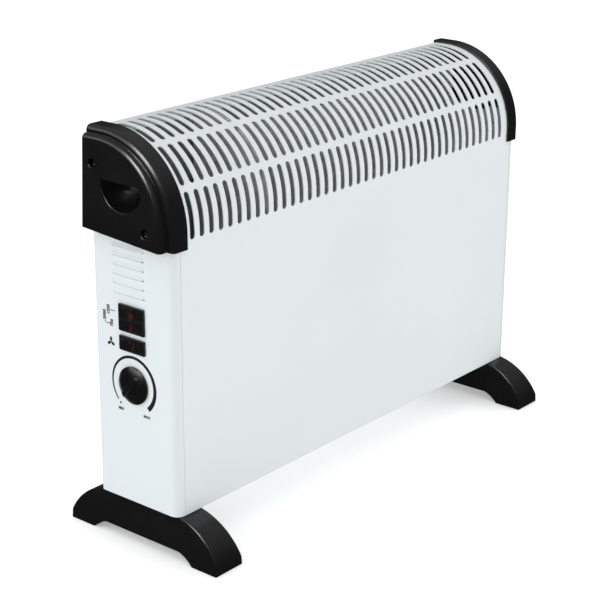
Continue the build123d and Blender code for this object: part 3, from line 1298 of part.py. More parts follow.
save(
    group(
        lead(
            (TIP_X, BACK_ROW, high_lane),
            (TIP_X + 50, BACK_ROW, high_lane),
            (TIP_X + 50, LOW_LEAD_Y, high_lane),
            (TIP_X + 50, LOW_LEAD_Y, STUD_Z),
            (STUDS[0], LOW_LEAD_Y, STUD_Z),
            (STUDS[0], LOW_BOARD_Y - BOARD_THICKNESS / 2 - STUD_REACH, STUD_Z),
        ),
        lead(
            (TIP_X, BACK_ROW, low_lane),
            (TIP_X + 38, BACK_ROW, low_lane),
            (TIP_X + 38, HIGH_LEAD_Y, low_lane),
            (TIP_X + 38, HIGH_LEAD_Y, STUD_Z),
            (STUDS[0], HIGH_LEAD_Y, STUD_Z),
            (STUDS[0], HIGH_BOARD_Y - BOARD_THICKNESS / 2 - STUD_REACH, STUD_Z),
        ),
        lead(
            (STUDS[1], LOW_BOARD_Y - BOARD_THICKNESS / 2 - STUD_REACH, STUD_Z),
            (STUDS[1], LOW_LEAD_Y, STUD_Z),
            (STUDS[1] + 14, LOW_LEAD_Y, STUD_Z),
            (STUDS[1] + 14, HIGH_LEAD_Y, STUD_Z),
            (STUDS[1], HIGH_LEAD_Y, STUD_Z),
            (STUDS[1], HIGH_BOARD_Y - BOARD_THICKNESS / 2 - STUD_REACH, STUD_Z),
        ),
    ),
    "element_leads",
)
stat_tip = stat_back + BLADE[0]
save(
    group(
        lead(
            (stat_tip, DIAL_Y + 9, DIAL_Z + 8),
            (stat_tip + 14, DIAL_Y + 9, DIAL_Z + 8),
            (stat_tip + 14, DIAL_Y + 9, GLAND_Z + 16),
            (lanes[2], BLOCK_BACK + 9, GLAND_Z + 16),
            (lanes[2], BLOCK_BACK + 9, BLOCK_BORE_Z),
            (lanes[2], BLOCK_BACK, BLOCK_BORE_Z),
        ),
        lead(
            (stat_tip, DIAL_Y - 9, DIAL_Z + 8),
            (stat_tip + 20, DIAL_Y - 9, DIAL_Z + 8),
            (stat_tip + 20, FRONT_ROW, low_lane),
            (TIP_X, FRONT_ROW, low_lane),
        ),
    ),
    "thermostat_leads",
)
save(
    lead(
        (TIP_X, BACK_ROW, FAN_SWITCH_Z),
        (TIP_X + 24, BACK_ROW, FAN_SWITCH_Z),
        (TIP_X + 24, BACK_ROW, FAN_LEAD_Z),
        (TIP_X + 40, FAN_LEAD_Y, FAN_LEAD_Z),
        (FAN_X + (COIL_LEG_X[0] + COIL_LEG_X[1]) / 2, FAN_LEAD_Y, FAN_LEAD_Z),
        (FAN_X + (COIL_LEG_X[0] + COIL_LEG_X[1]) / 2, -BOBBIN_HALF, FAN_LEAD_Z),
    ),
    "fan_leads",
)
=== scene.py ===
import math

import bmesh
import bpy
from mathutils import Matrix, Vector


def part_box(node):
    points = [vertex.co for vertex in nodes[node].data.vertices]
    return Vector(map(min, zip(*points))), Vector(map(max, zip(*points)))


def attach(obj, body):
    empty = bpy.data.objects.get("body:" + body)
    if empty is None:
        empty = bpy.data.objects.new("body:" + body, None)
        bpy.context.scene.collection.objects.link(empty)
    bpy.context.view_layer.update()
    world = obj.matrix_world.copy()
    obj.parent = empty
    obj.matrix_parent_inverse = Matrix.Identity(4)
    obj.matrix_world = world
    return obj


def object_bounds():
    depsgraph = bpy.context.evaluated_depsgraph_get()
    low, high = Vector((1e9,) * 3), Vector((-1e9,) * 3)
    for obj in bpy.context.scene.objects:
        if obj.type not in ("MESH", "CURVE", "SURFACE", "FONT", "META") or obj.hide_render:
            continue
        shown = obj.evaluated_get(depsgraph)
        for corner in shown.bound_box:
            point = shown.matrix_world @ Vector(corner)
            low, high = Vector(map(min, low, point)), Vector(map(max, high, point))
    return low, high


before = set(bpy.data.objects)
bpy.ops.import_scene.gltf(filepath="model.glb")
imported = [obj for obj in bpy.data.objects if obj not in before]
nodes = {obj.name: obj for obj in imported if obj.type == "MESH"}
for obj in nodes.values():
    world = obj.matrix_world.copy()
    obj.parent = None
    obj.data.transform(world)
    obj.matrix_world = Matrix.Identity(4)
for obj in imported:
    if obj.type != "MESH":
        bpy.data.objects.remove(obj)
cad_low, cad_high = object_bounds()
MM = 0.001

# ---------------------------------------------------------------- casing sheets
# The casing is folded from cold-rolled sheet steel and powder coated white before it is
# screwed together. The coat is about 0.08 mm thick, flows into a fine orange peel, and draws
# thin where the press cut the slots and the folded edges.


def wire(tree, kind, inputs=None, **options):
    """Add a node, set its options, and fill its inputs with values or links."""
    made = tree.nodes.new(kind)
    for option, value in options.items():
        setattr(made, option, value)
    for socket, value in (inputs or {}).items():
        if isinstance(value, bpy.types.NodeSocket):
            tree.links.new(value, made.inputs[socket])
        else:
            made.inputs[socket].default_value = value
    return made


def node_group(name, inputs, outputs):
    """A new shader node group with its sockets, and its input and output nodes."""
    tree = bpy.data.node_groups.new(name, "ShaderNodeTree")
    for label, kind, value in inputs:
        socket = tree.interface.new_socket(label, in_out="INPUT", socket_type=kind)
        socket.default_value = value
    for label, kind in outputs:
        tree.interface.new_socket(label, in_out="OUTPUT", socket_type=kind)
    return tree, wire(tree, "NodeGroupInput").outputs, wire(tree, "NodeGroupOutput").inputs


def math_node(tree, operation, first, second=0.0, clamp=False):
    """The result socket of one arithmetic node."""
    options = dict(operation=operation, use_clamp=clamp)
    return wire(tree, "ShaderNodeMath", {0: first, 1: second}, **options).outputs[0]


def object_place(tree):
    """Where a point lies on its own object."""
    return wire(tree, "ShaderNodeTexCoord").outputs["Object"]


def facing_way(tree):
    """The way the surface faces."""
    return wire(tree, "ShaderNodeNewGeometry").outputs["Normal"]


def parts_of(tree, vector):
    """The X, Y and Z sockets of a vector."""
    return wire(tree, "ShaderNodeSeparateXYZ", {0: vector}).outputs


def noise(tree, place, scale, detail):
    """The height socket of a noise."""
    inputs = {"Vector": place, "Scale": scale, "Detail": detail}
    return wire(tree, "ShaderNodeTexNoise", inputs).outputs[0]


def ramp(tree, value, start, end, low=0.0, high=1.0, **options):
    """A value carried from one range to another."""
    inputs = {0: value, 1: start, 2: end, 3: low, 4: high}
    return wire(tree, "ShaderNodeMapRange", inputs, **options).outputs[0]


def mixed(tree, share, first, second):
    """One number in place of another, by a share."""
    return wire(tree, "ShaderNodeMix", {0: share, 2: first, 3: second}).outputs[0]


def mixed_colour(tree, share, first, second):
    """One colour in place of another, by a share."""
    return wire(tree, "ShaderNodeMix", {0: share, 6: first, 7: second}, data_type="RGBA").outputs[2]


FLOAT = "NodeSocketFloat"
# a noise keeps nearly all its values between these two
NOISE_LOW = 0.3
NOISE_HIGH = 0.7
DUST_COLOUR = (0.42, 0.4, 0.37, 1)
DUST_ROUGH = 0.85

# surface grain: a coarse and a fine noise for the height, and a slow one for the tone
grain_group, g_in, g_out = node_group(
    "surface_grain",
    [("Scale", FLOAT, 900.0), ("Fine", FLOAT, 3.1), ("Share", FLOAT, 0.3), ("Mottle", FLOAT, 14.0)],
    [("Height", FLOAT), ("Tone", FLOAT)],
)
place = object_place(grain_group)
coarse = noise(grain_group, place, g_in["Scale"], 2.0)
fine_scale = math_node(grain_group, "MULTIPLY", g_in["Scale"], g_in["Fine"])
fine = noise(grain_group, place, fine_scale, 3.0)
blend = mixed(grain_group, g_in["Share"], coarse, fine)
slow = noise(grain_group, place, g_in["Mottle"], 4.0)
grain_group.links.new(blend, g_out["Height"])
grain_group.links.new(slow, g_out["Tone"])

# worn edge: how far a rounded normal turns from the real one, broken up by noise
edge_group, g_in, g_out = node_group(
    "worn_edge",
    [("Reach", FLOAT, 0.0006), ("Break", FLOAT, 160.0), ("Strength", FLOAT, 1.0)],
    [("Mask", FLOAT), ("Rounded", "NodeSocketVector")],
)
rounded = wire(edge_group, "ShaderNodeBevel", {"Radius": g_in["Reach"]}, samples=4).outputs[0]
flat = facing_way(edge_group)
facing = wire(edge_group, "ShaderNodeVectorMath", {0: rounded, 1: flat}, operation="DOT_PRODUCT")
turned = ramp(edge_group, facing.outputs["Value"], 0.99, 0.72)
place = object_place(edge_group)
patches = noise(edge_group, place, g_in["Break"], 5.0)
patches = ramp(edge_group, patches, 0.35, 0.65)
worn = math_node(edge_group, "MULTIPLY", turned, patches)
worn = math_node(edge_group, "MULTIPLY", worn, g_in["Strength"], clamp=True)
edge_group.links.new(worn, g_out["Mask"])
edge_group.links.new(rounded, g_out["Rounded"])

# settled dust: upward faces, in soft patches
dust_group, g_in, g_out = node_group(
    "settled_dust",
    [("Amount", FLOAT, 0.3), ("Patch", FLOAT, 35.0)],
    [("Mask", FLOAT)],
)
up = parts_of(dust_group, facing_way(dust_group))[2]
up = ramp(dust_group, up, 0.2, 1.0)
place = object_place(dust_group)
drift = noise(dust_group, place, g_in["Patch"], 8.0)
drift = ramp(dust_group, drift, 0.3, 0.8)
settled = math_node(dust_group, "MULTIPLY", up, drift)
settled = math_node(dust_group, "MULTIPLY", settled, g_in["Amount"], clamp=True)
dust_group.links.new(settled, g_out["Mask"])


def grouped(tree, group, **values):
    """One of the shared effects, placed in a material with its own values."""
    made = wire(tree, "ShaderNodeGroup")
    made.node_tree = group
    for label, value in values.items():
        made.inputs[label].default_value = value
    return made.outputs


def finish(
    name, colours, rough, grain, depth, edge=None, dust=0.0, height=None, tone=None, **shader
):
    """Two tones of a colour, a roughness range, a grain, and worn edges in their own colour."""
    mat = bpy.data.materials.new(name)
    mat.use_nodes = True
    tree = mat.node_tree
    surface = tree.nodes["Principled BSDF"]
    for socket, value in shader.items():
        surface.inputs[socket.replace("_", " ")].default_value = value
    grains = grouped(tree, grain_group, **grain)
    tone = tone(tree) if tone else grains["Tone"]
    spread = ramp(tree, tone, NOISE_LOW, NOISE_HIGH)
    colour = mixed_colour(tree, spread, (*colours[0], 1), (*colours[1], 1))
    rough_now = ramp(tree, grains["Tone"], NOISE_LOW, NOISE_HIGH, *rough)
    normal = None
    if edge:
        edge_colour, edge_rough, reach, strength = edge
        edges = grouped(tree, edge_group, Reach=reach, Strength=strength)
        colour = mixed_colour(tree, edges["Mask"], colour, (*edge_colour, 1))
        rough_now = mixed(tree, edges["Mask"], rough_now, edge_rough)
        normal = edges["Rounded"]
    if dust:
        lying = grouped(tree, dust_group, Amount=dust)["Mask"]
        colour = mixed_colour(tree, lying, colour, DUST_COLOUR)
        rough_now = mixed(tree, lying, rough_now, DUST_ROUGH)
    raised = height(tree, grains["Height"]) if height else grains["Height"]
    bump = wire(tree, "ShaderNodeBump", {"Height": raised, "Distance": depth})
    if normal:
        tree.links.new(normal, bump.inputs["Normal"])
    tree.links.new(colour, surface.inputs["Base Color"])
    tree.links.new(rough_now, surface.inputs["Roughness"])
    tree.links.new(bump.outputs[0], surface.inputs["Normal"])
    return mat


def paint(material, *names):
    """Give CAD nodes their finish."""
    for name in names:
        for slot in nodes[name].material_slots:
            slot.material = material


COAT_GRAIN = dict(Scale=650.0, Fine=2.7, Share=0.25, Mottle=6.0)
COAT_DEPTH = 0.000012
COAT_EDGE = ((0.70, 0.74, 0.76), 0.45, 0.0005, 0.5)
powder_coat = finish(
    "white_powder_coat",
    colours=((0.80, 0.845, 0.86), (0.825, 0.87, 0.885)),
    rough=(0.3, 0.38),
    grain=COAT_GRAIN,
    depth=COAT_DEPTH,
    edge=COAT_EDGE,
    Coat_Weight=0.12,
    Coat_Roughness=0.15,
)
paint(powder_coat, "front_panel", "left_side_panel", "right_side_panel")


def outward_share(tree):
    """Low where the sheet faces into the casing, high where it faces back or down and out."""
    parts = parts_of(tree, facing_way(tree))
    outward = math_node(tree, "SUBTRACT", parts[1], parts[2])
    return ramp(tree, outward, -0.6, 0.1, NOISE_LOW, NOISE_HIGH)


# the back and the base are white where they face out; where they face into the casing
# they are dark grey, partly grey primer and partly painted shade of the closed casing
primer_and_painted_shade_coat = finish(
    "primed_powder_coat_and_painted_shade",
    colours=((0.20, 0.21, 0.215), (0.815, 0.86, 0.875)),
    rough=(0.32, 0.42),
    grain=COAT_GRAIN,
    depth=COAT_DEPTH,
    edge=COAT_EDGE,
    # the dark inward faces are partly primer and partly painted shade
    tone=outward_share,
)
paint(primer_and_painted_shade_coat, "rear_panel", "base_plate")

# ---------------------------------------------------------------- end caps and feet
# Both are injection moulded in black polypropylene. The tool is spark eroded, so the skin
# is an even satin with a very fine leathery grain, and handling polishes the edges.
black_moulding = finish(
    "black_moulding",
    colours=((0.0058, 0.0058, 0.0064), (0.0078, 0.0078, 0.0085)),
    rough=(0.2, 0.26),
    grain=dict(Scale=1500.0, Fine=2.4, Share=0.4, Mottle=22.0),
    depth=0.000007,
    edge=((0.02, 0.02, 0.022), 0.28, 0.0015, 0.4),
    Specular_IOR_Level=0.45,
)
paint(black_moulding, "left_end_cap", "right_end_cap", "left_foot", "right_foot")

# ---------------------------------------------------------------- screws
# Pan-head cross-recess screws: black zinc plate in the end caps, bright zinc elsewhere. The
# studs, the earth nut and the impeller clip share the bright zinc.
black_zinc = finish(
    "black_zinc_plate",
    colours=((0.02, 0.02, 0.023), (0.035, 0.035, 0.04)),
    rough=(0.25, 0.4),
    grain=dict(Scale=2500.0, Fine=2.0, Share=0.5, Mottle=300.0),
    depth=0.00001,
    edge=((0.35, 0.34, 0.33), 0.3, 0.0003, 0.9),
    Metallic=0.85,
)
paint(black_zinc, "end_cap_screws")
bright_zinc = finish(
    "bright_zinc_plate",
    colours=((0.55, 0.56, 0.58), (0.68, 0.69, 0.71)),
    rough=(0.22, 0.38),
    grain=dict(Scale=1800.0, Fine=2.0, Share=0.5, Mottle=200.0),
    depth=0.00001,
    edge=((0.75, 0.75, 0.76), 0.2, 0.0003, 0.6),
    Metallic=1.0,
)
paint(
    bright_zinc,
    "rear_panel_screws",
    "foot_screws",
    "thermostat_screws",
    "terminal_screws",
    "motor_screws",
    "element_studs",
    "earth_stud",
    "earth_nut",
    "impeller_clip",
)

# ---------------------------------------------------------------- switches
# Each switch body is glossy black nylon with a bezel that covers its panel cut-out. The
# rockers are smoked amber polycarbonate over a neon lamp, with a painted glint: lighter
# amber across the middle where each rocker bends, dark towards its ends.
switch_nylon = finish(
    "switch_nylon",
    colours=((0.008, 0.008, 0.009), (0.012, 0.012, 0.013)),
    rough=(0.14, 0.22),
    grain=dict(Scale=1200.0, Fine=2.0, Share=0.3, Mottle=90.0),
    depth=0.000006,
    edge=((0.02, 0.02, 0.022), 0.15, 0.0004, 0.5),
)
paint(switch_nylon, "heat_switch_housing", "fan_switch_housing")


def rocker_painted_glint(tree):
    """A painted glint across the middle of the rocker where it bends, dark at both ends, along its
    length.
    """
    low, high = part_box("fan_switch_housing")
    middle = (low.y + high.y) / 2
    place = object_place(tree)
    along = parts_of(tree, place)[1]
    away = math_node(tree, "ABSOLUTE", math_node(tree, "SUBTRACT", along, middle))
    # the painted glint is brightest in the middle of the rocker and fades towards both ends
    lamp = ramp(tree, away, 0.5 * MM, 4.8 * MM, 0.75, 0.25)
    patchy = noise(tree, place, 260.0, 2.0)
    broken = ramp(tree, patchy, 0.42, 0.6, 0.35, 1.0)
    return math_node(tree, "MULTIPLY", lamp, broken)


smoked_amber_with_painted_glint = finish(
    "smoked_amber_with_painted_glint",
    colours=((0.007, 0.006, 0.006), (0.055, 0.015, 0.008)),
    rough=(0.12, 0.2),
    grain=dict(Scale=900.0, Fine=2.0, Share=0.3, Mottle=150.0),
    depth=0.000006,
    edge=((0.03, 0.02, 0.02), 0.12, 0.0004, 0.4),
    tone=rocker_painted_glint,
    Coat_Weight=0.5,
    Coat_Roughness=0.08,
)
paint(smoked_amber_with_painted_glint, "low_heat_rocker", "high_heat_rocker", "fan_rocker")

# ---------------------------------------------------------------- thermostat
# A black knob, moulded in ABS and pressed on the flatted steel shaft of a snap-action
# thermostat. The shaft is turned and ground, as the shaft of the fan is.
knob_abs = finish(
    "knob_abs",
    colours=((0.0045, 0.0042, 0.0042), (0.0065, 0.0062, 0.0062)),
    rough=(0.2, 0.28),
    grain=dict(Scale=1400.0, Fine=2.2, Share=0.4, Mottle=60.0),
    depth=0.00001,
    edge=((0.03, 0.03, 0.032), 0.2, 0.0005, 0.6),
)
paint(knob_abs, "thermostat_knob")
shaft_steel = finish(
    "ground_steel",
    colours=((0.42, 0.42, 0.43), (0.5, 0.5, 0.51)),
    rough=(0.2, 0.3),
    grain=dict(Scale=2400.0, Fine=2.0, Share=0.5, Mottle=400.0),
    depth=0.000005,
    Metallic=1.0,
)
paint(shaft_steel, "thermostat_shaft", "fan_shaft")

# ---------------------------------------------------------------- printed marks
# The dial scale and its end words, the fan sign and the heat settings are pad printed in
# black ink straight on the powder coat, a few hundredths of a millimetre thick.
ink = finish(
    "black_ink",
    colours=((0.006, 0.006, 0.007), (0.012, 0.012, 0.013)),
    rough=(0.35, 0.5),
    grain=dict(Scale=3000.0, Fine=2.0, Share=0.5, Mottle=250.0),
    depth=0.000004,
)
INK_DEPTH = 0.05 * MM


def printed(name, outlines):
    """A thin closed print on the left panel, from outlines in (Y, Z)."""
    skin = bmesh.new()
    for outline in outlines:
        ring = [skin.verts.new((side_x - INK_DEPTH, y, z)) for y, z in outline]
        face = skin.faces.new(ring)
        grown = bmesh.ops.extrude_face_region(skin, geom=[face])
        moved = [v for v in grown["geom"] if isinstance(v, bmesh.types.BMVert)]
        bmesh.ops.translate(skin, verts=moved, vec=(1.5 * INK_DEPTH, 0, 0))
    bmesh.ops.recalc_face_normals(skin, faces=skin.faces)
    mesh = bpy.data.meshes.new(name)
    skin.to_mesh(mesh)
    skin.free()
    piece = bpy.data.objects.new(name, mesh)
    bpy.context.scene.collection.objects.link(piece)
    mesh.materials.append(ink)
    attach(piece, "casing")


side_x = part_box("heat_switch_housing")[0].x + 2.0 * MM
knob_low, knob_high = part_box("thermostat_knob")
dial_y = (knob_low.y + knob_high.y) / 2
dial_z = (knob_low.z + knob_high.z) / 2
ARC_RADIUS = 27.4 * MM
ARC_STEPS = 90
ARC_START = -42
ARC_SWEEP = 270
ARC_THIN = 1.5
ARC_GROWTH = 2.9
arc_outer = []
arc_inner = []
for step in range(ARC_STEPS + 1):
    share = step / ARC_STEPS
    angle = math.radians(ARC_START + ARC_SWEEP * share)
    width = (ARC_THIN + ARC_GROWTH * share ** 1.2) * MM
    for line, radius in ((arc_outer, ARC_RADIUS), (arc_inner, ARC_RADIUS - width)):
        line.append((dial_y + radius * math.cos(angle), dial_z + radius * math.sin(angle)))
printed("dial_scale", [arc_outer + arc_inner[::-1]])


def lettered(name, text, y, z, height, turned=False):
    """A short printed word or number on the left panel, centred at (y, z)."""
    curve = bpy.data.curves.new(name, "FONT")
    curve.body = text
    curve.size = 1.4 * height
    curve.extrude = INK_DEPTH
    curve.offset = 0.07 * height
    curve.resolution_u = 3
    curve.align_x = "CENTER"
    curve.align_y = "CENTER"
    lettering = bpy.data.objects.new(name + "_outline", curve)
    bpy.context.scene.collection.objects.link(lettering)
    bpy.context.view_layer.update()
    mesh = bpy.data.meshes.new_from_object(lettering)
    bpy.data.objects.remove(lettering)
    across = Matrix(((0, 0, -1), (-1, 0, 0), (0, 1, 0))).to_4x4()
    spin = Matrix.Rotation(math.radians(90 if turned else 0), 4, "Z")
    mesh.transform(Matrix.Translation((side_x, y, z)) @ across @ spin)
    mesh.materials.clear()
    mesh.materials.append(ink)
    piece = bpy.data.objects.new(name, mesh)
    bpy.context.scene.collection.objects.link(piece)
    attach(piece, "casing")


def ring_of(y, z, radius, steps=20):
    """Points round a small circle."""
    turns = [2 * math.pi * step / steps for step in range(steps)]
    return [(y + radius * math.cos(turn), z + radius * math.sin(turn)) for turn in turns]


def stroke(start, end, width):
    """A straight printed line as a four-cornered outline."""
    along = (Vector(end) - Vector(start)).normalized() * width / 2
    side = Vector((-along.y, along.x))
    corners = (Vector(start) - along - side, Vector(end) + along - side)
    far = (Vector(end) + along + side, Vector(start) - along + side)
    return [tuple(point) for point in corners + far]


# the start dot and the end words of the dial scale
WORD_Z = dial_z - 26.4 * MM
WORD_HEIGHT = 2.6 * MM
NUMBER_HEIGHT = 3.3 * MM
printed("start_dot", [ring_of(dial_y + 17.4 * MM, dial_z - 20.8 * MM, 1.1 * MM)])
lettered("scale_low_word", "MIN", dial_y + 17.1 * MM, WORD_Z, WORD_HEIGHT)
lettered("scale_high_word", "MAX", dial_y - 14.8 * MM, WORD_Z, WORD_HEIGHT)
heat_low, heat_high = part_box("heat_switch_housing")
fan_low, fan_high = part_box("fan_switch_housing")
heat_z = (heat_low.z + heat_high.z) / 2
fan_z = (fan_low.z + fan_high.z) / 2
LABEL_Y = heat_high.y + 8.3 * MM
LINE = 0.7 * MM
# numbers that read upwards: a tick leads from the upper one towards its rocker, and a
# bracket joins the lower one to the number for both
for label, number, out, up in (
    ("lower_heat_number", "750", 1.8, -8.8),
    ("upper_heat_number", "1250", 5.6, 3.0),
    ("both_heat_number", "2000", 10.6, -2.8),
):
    lettered(label, number, LABEL_Y + out * MM, heat_z + up * MM, NUMBER_HEIGHT, turned=True)
TICK_Z = heat_z + 3.2 * MM
tick = stroke((LABEL_Y + 2.8 * MM, TICK_Z), (LABEL_Y - 2.2 * MM, TICK_Z), LINE)
printed("upper_heat_tick", [tick])
bracket_points = [
    (LABEL_Y + 10.6 * MM, heat_z - 8.4 * MM),
    (LABEL_Y + 8.0 * MM, heat_z - 10.2 * MM),
    (LABEL_Y + 3.8 * MM, heat_z - 9.6 * MM),
]
printed("heat_bracket", [stroke(a, b, LINE) for a, b in zip(bracket_points, bracket_points[1:])])
FAN_SIGN_Y = fan_high.y + 11.8 * MM
FAN_SIGN_Z = fan_z - 3.2 * MM
PETAL_REACH = 2.7 * MM
PETAL_RADIUS = 2.3 * MM
PETAL_SLIMNESS = 0.62
fan_sign = []
for blade in range(3):
    turn = math.radians(90 + 120 * blade)
    middle = (FAN_SIGN_Y + PETAL_REACH * math.cos(turn), FAN_SIGN_Z + PETAL_REACH * math.sin(turn))
    petal = []
    for y, z in ring_of(0.0, 0.0, PETAL_RADIUS, 16):
        y = PETAL_SLIMNESS * y
        petal.append(
            (
                middle[0] + z * math.cos(turn) - y * math.sin(turn),
                middle[1] + z * math.sin(turn) + y * math.cos(turn),
            )
        )
    fan_sign.append(petal)
fan_sign.append(ring_of(FAN_SIGN_Y, FAN_SIGN_Z, 0.5 * MM, 12))
printed("fan_sign", fan_sign)

# ---------------------------------------------------------------- inside plates
# Bulkhead, heat shields, element brackets and the fan plate are bare galvanised sheet,
# with the spangle of hot-dip zinc.


def spangle(tree):
    """Flat grains of zinc, each with its own tone."""
    cells = wire(tree, "ShaderNodeTexVoronoi", {"Vector": object_place(tree), "Scale": 140.0})
    return wire(tree, "ShaderNodeSeparateColor", {0: cells.outputs["Color"]}).outputs[0]


galvanised = finish(
    "galvanised_sheet",
    colours=((0.56, 0.57, 0.585), (0.68, 0.69, 0.70)),
    rough=(0.42, 0.58),
    grain=dict(Scale=700.0, Fine=3.0, Share=0.4, Mottle=30.0),
    depth=0.00001,
    edge=((0.6, 0.6, 0.6), 0.35, 0.0004, 0.5),
    tone=spangle,
    Metallic=0.45,
)
paint(
    galvanised,
    "left_bulkhead",
    "rear_reflector",
    "front_heat_shield",
    "right_heat_shield",
    "left_element_bracket",
    "right_element_bracket",
    "fan_bracket",
)

# ---------------------------------------------------------------- heating elements
# Two pressed mica boards, each laced with a zigzag of nickel-chrome wire whose skin has
# oxidised in use, and a phenolic cut-out. The thermostat's steatite body and dark bimetal
# strip are here too, with the tinned brass blades of the thermostat and the switches.
mica = finish(
    "pressed_mica",
    colours=((0.42, 0.34, 0.22), (0.58, 0.49, 0.33)),
    rough=(0.35, 0.6),
    grain=dict(Scale=500.0, Fine=4.0, Share=0.5, Mottle=120.0),
    depth=0.00003,
    edge=((0.66, 0.58, 0.42), 0.7, 0.0003, 0.8),
)
paint(mica, "low_heat_board", "high_heat_board")
oxidised_wire = finish(
    "oxidised_wire",
    colours=((0.16, 0.15, 0.14), (0.30, 0.26, 0.22)),
    rough=(0.4, 0.6),
    grain=dict(Scale=1600.0, Fine=2.0, Share=0.5, Mottle=90.0),
    depth=0.00001,
    Metallic=0.85,
)
paint(oxidised_wire, "low_heat_wire", "high_heat_wire", "thermostat_bimetal_strip")
phenolic = finish(
    "brown_phenolic",
    colours=((0.022, 0.016, 0.013), (0.036, 0.027, 0.021)),
    rough=(0.25, 0.4),
    grain=dict(Scale=1500.0, Fine=2.5, Share=0.4, Mottle=140.0),
    depth=0.00001,
    edge=((0.09, 0.07, 0.055), 0.5, 0.0004, 0.6),
)
paint(phenolic, "thermal_cutout")
steatite = finish(
    "cream_steatite",
    colours=((0.70, 0.66, 0.56), (0.80, 0.76, 0.66)),
    rough=(0.3, 0.45),
    grain=dict(Scale=900.0, Fine=3.0, Share=0.4, Mottle=80.0),
    depth=0.00002,
    edge=((0.6, 0.56, 0.48), 0.6, 0.0004, 0.5),
)
paint(steatite, "thermostat_body")
tinned_brass = finish(
    "tinned_brass",
    colours=((0.62, 0.52, 0.30), (0.74, 0.66, 0.45)),
    rough=(0.2, 0.35),
    grain=dict(Scale=2200.0, Fine=2.0, Share=0.5, Mottle=160.0),
    depth=0.000008,
    edge=((0.80, 0.72, 0.5), 0.2, 0.0002, 0.6),
    Metallic=1.0,
)
paint(tinned_brass, "heat_switch_blades", "fan_switch_blades", "thermostat_blades")

# ---------------------------------------------------------------- fan motor
# A shaded-pole motor: a riveted stack of blued laminations, a nylon bobbin wound with
# enamelled copper, die-cast bridges and sintered bushes, turning a nylon impeller.


def along_stack(tree, height, pitch):
    """Bands across the height of a stack or winding, laid over the surface grain."""
    climb = parts_of(tree, object_place(tree))[2]
    share = math_node(tree, "FRACT", math_node(tree, "MULTIPLY", climb, 1.0 / pitch))
    groove = ramp(tree, math_node(tree, "PINGPONG", share, 0.5), 0.0, 0.2)
    return math_node(tree, "ADD", math_node(tree, "MULTIPLY", groove, 3.0), height)


laminations = finish(
    "blued_laminations",
    colours=((0.16, 0.17, 0.20), (0.26, 0.27, 0.30)),
    rough=(0.35, 0.55),
    grain=dict(Scale=1200.0, Fine=3.0, Share=0.5, Mottle=70.0),
    depth=0.00003,
    height=lambda tree, grain: along_stack(tree, grain, 0.5 * MM),
    Metallic=0.9,
)
paint(laminations, "motor_stator", "motor_rotor")
copper = finish(
    "enamelled_copper",
    colours=((0.42, 0.13, 0.05), (0.58, 0.22, 0.09)),
    rough=(0.2, 0.35),
    grain=dict(Scale=1800.0, Fine=2.0, Share=0.5, Mottle=220.0),
    depth=0.00006,
    height=lambda tree, grain: along_stack(tree, grain, 0.35 * MM),
    Metallic=0.75,
    Coat_Weight=0.6,
)
paint(copper, "motor_coil")
nylon = finish(
    "natural_nylon",
    colours=((0.70, 0.69, 0.62), (0.78, 0.77, 0.70)),
    rough=(0.35, 0.5),
    grain=dict(Scale=1300.0, Fine=2.5, Share=0.4, Mottle=60.0),
    depth=0.00001,
    edge=((0.82, 0.81, 0.76), 0.45, 0.0004, 0.4),
    dust=0.25,
)
paint(nylon, "coil_bobbin", "terminal_block")
die_cast = finish(
    "die_cast_alloy",
    colours=((0.40, 0.40, 0.41), (0.52, 0.52, 0.53)),
    rough=(0.4, 0.6),
    grain=dict(Scale=900.0, Fine=3.0, Share=0.6, Mottle=110.0),
    depth=0.00003,
    edge=((0.66, 0.66, 0.67), 0.3, 0.0004, 0.7),
    Metallic=0.95,
)
paint(die_cast, "upper_motor_bridge", "lower_motor_bridge")
bronze = finish(
    "sintered_bronze",
    colours=((0.34, 0.22, 0.10), (0.46, 0.31, 0.16)),
    rough=(0.4, 0.55),
    grain=dict(Scale=2600.0, Fine=2.0, Share=0.6, Mottle=240.0),
    depth=0.00002,
    Metallic=0.9,
)
paint(bronze, "motor_bushes")
filled_nylon = finish(
    "filled_black_nylon",
    colours=((0.018, 0.018, 0.02), (0.028, 0.028, 0.03)),
    rough=(0.4, 0.55),
    grain=dict(Scale=1400.0, Fine=2.5, Share=0.5, Mottle=40.0),
    depth=0.00002,
    edge=((0.05, 0.05, 0.052), 0.4, 0.0004, 0.5),
    dust=0.3,
)
paint(filled_nylon, "fan_impeller", "cable_gland")

# ---------------------------------------------------------------- leads
# The inside wiring is sleeved copper: brown PVC between the terminal block and the
# switches, blue at the thermostat, black to the fan, and white woven glass sleeving at the
# elements.


def woven(tree, height):
    """A fine diagonal weave laid over the surface grain."""
    inputs = {"Vector": object_place(tree), "Scale": 420.0}
    weave = wire(tree, "ShaderNodeTexWave", inputs, bands_direction="DIAGONAL").outputs[1]
    return math_node(tree, "ADD", weave, height)


LEADS = (
    ("brown_lead", "supply_leads", (0.10, 0.035, 0.015), (0.14, 0.05, 0.022), None),
    ("blue_lead", "thermostat_leads", (0.02, 0.07, 0.24), (0.03, 0.10, 0.32), None),
    ("black_lead", "fan_leads", (0.012, 0.012, 0.013), (0.02, 0.02, 0.021), None),
    ("white_sleeve", "element_leads", (0.62, 0.61, 0.57), (0.74, 0.73, 0.69), woven),
)
for lead_name, lead_node, darker, lighter, lay in LEADS:
    sleeve = finish(
        lead_name,
        colours=(darker, lighter),
        rough=(0.4, 0.55),
        grain=dict(Scale=1600.0, Fine=2.5, Share=0.4, Mottle=90.0),
        depth=0.00002,
        height=lay,
        dust=0.15,
    )
    paint(sleeve, lead_node)

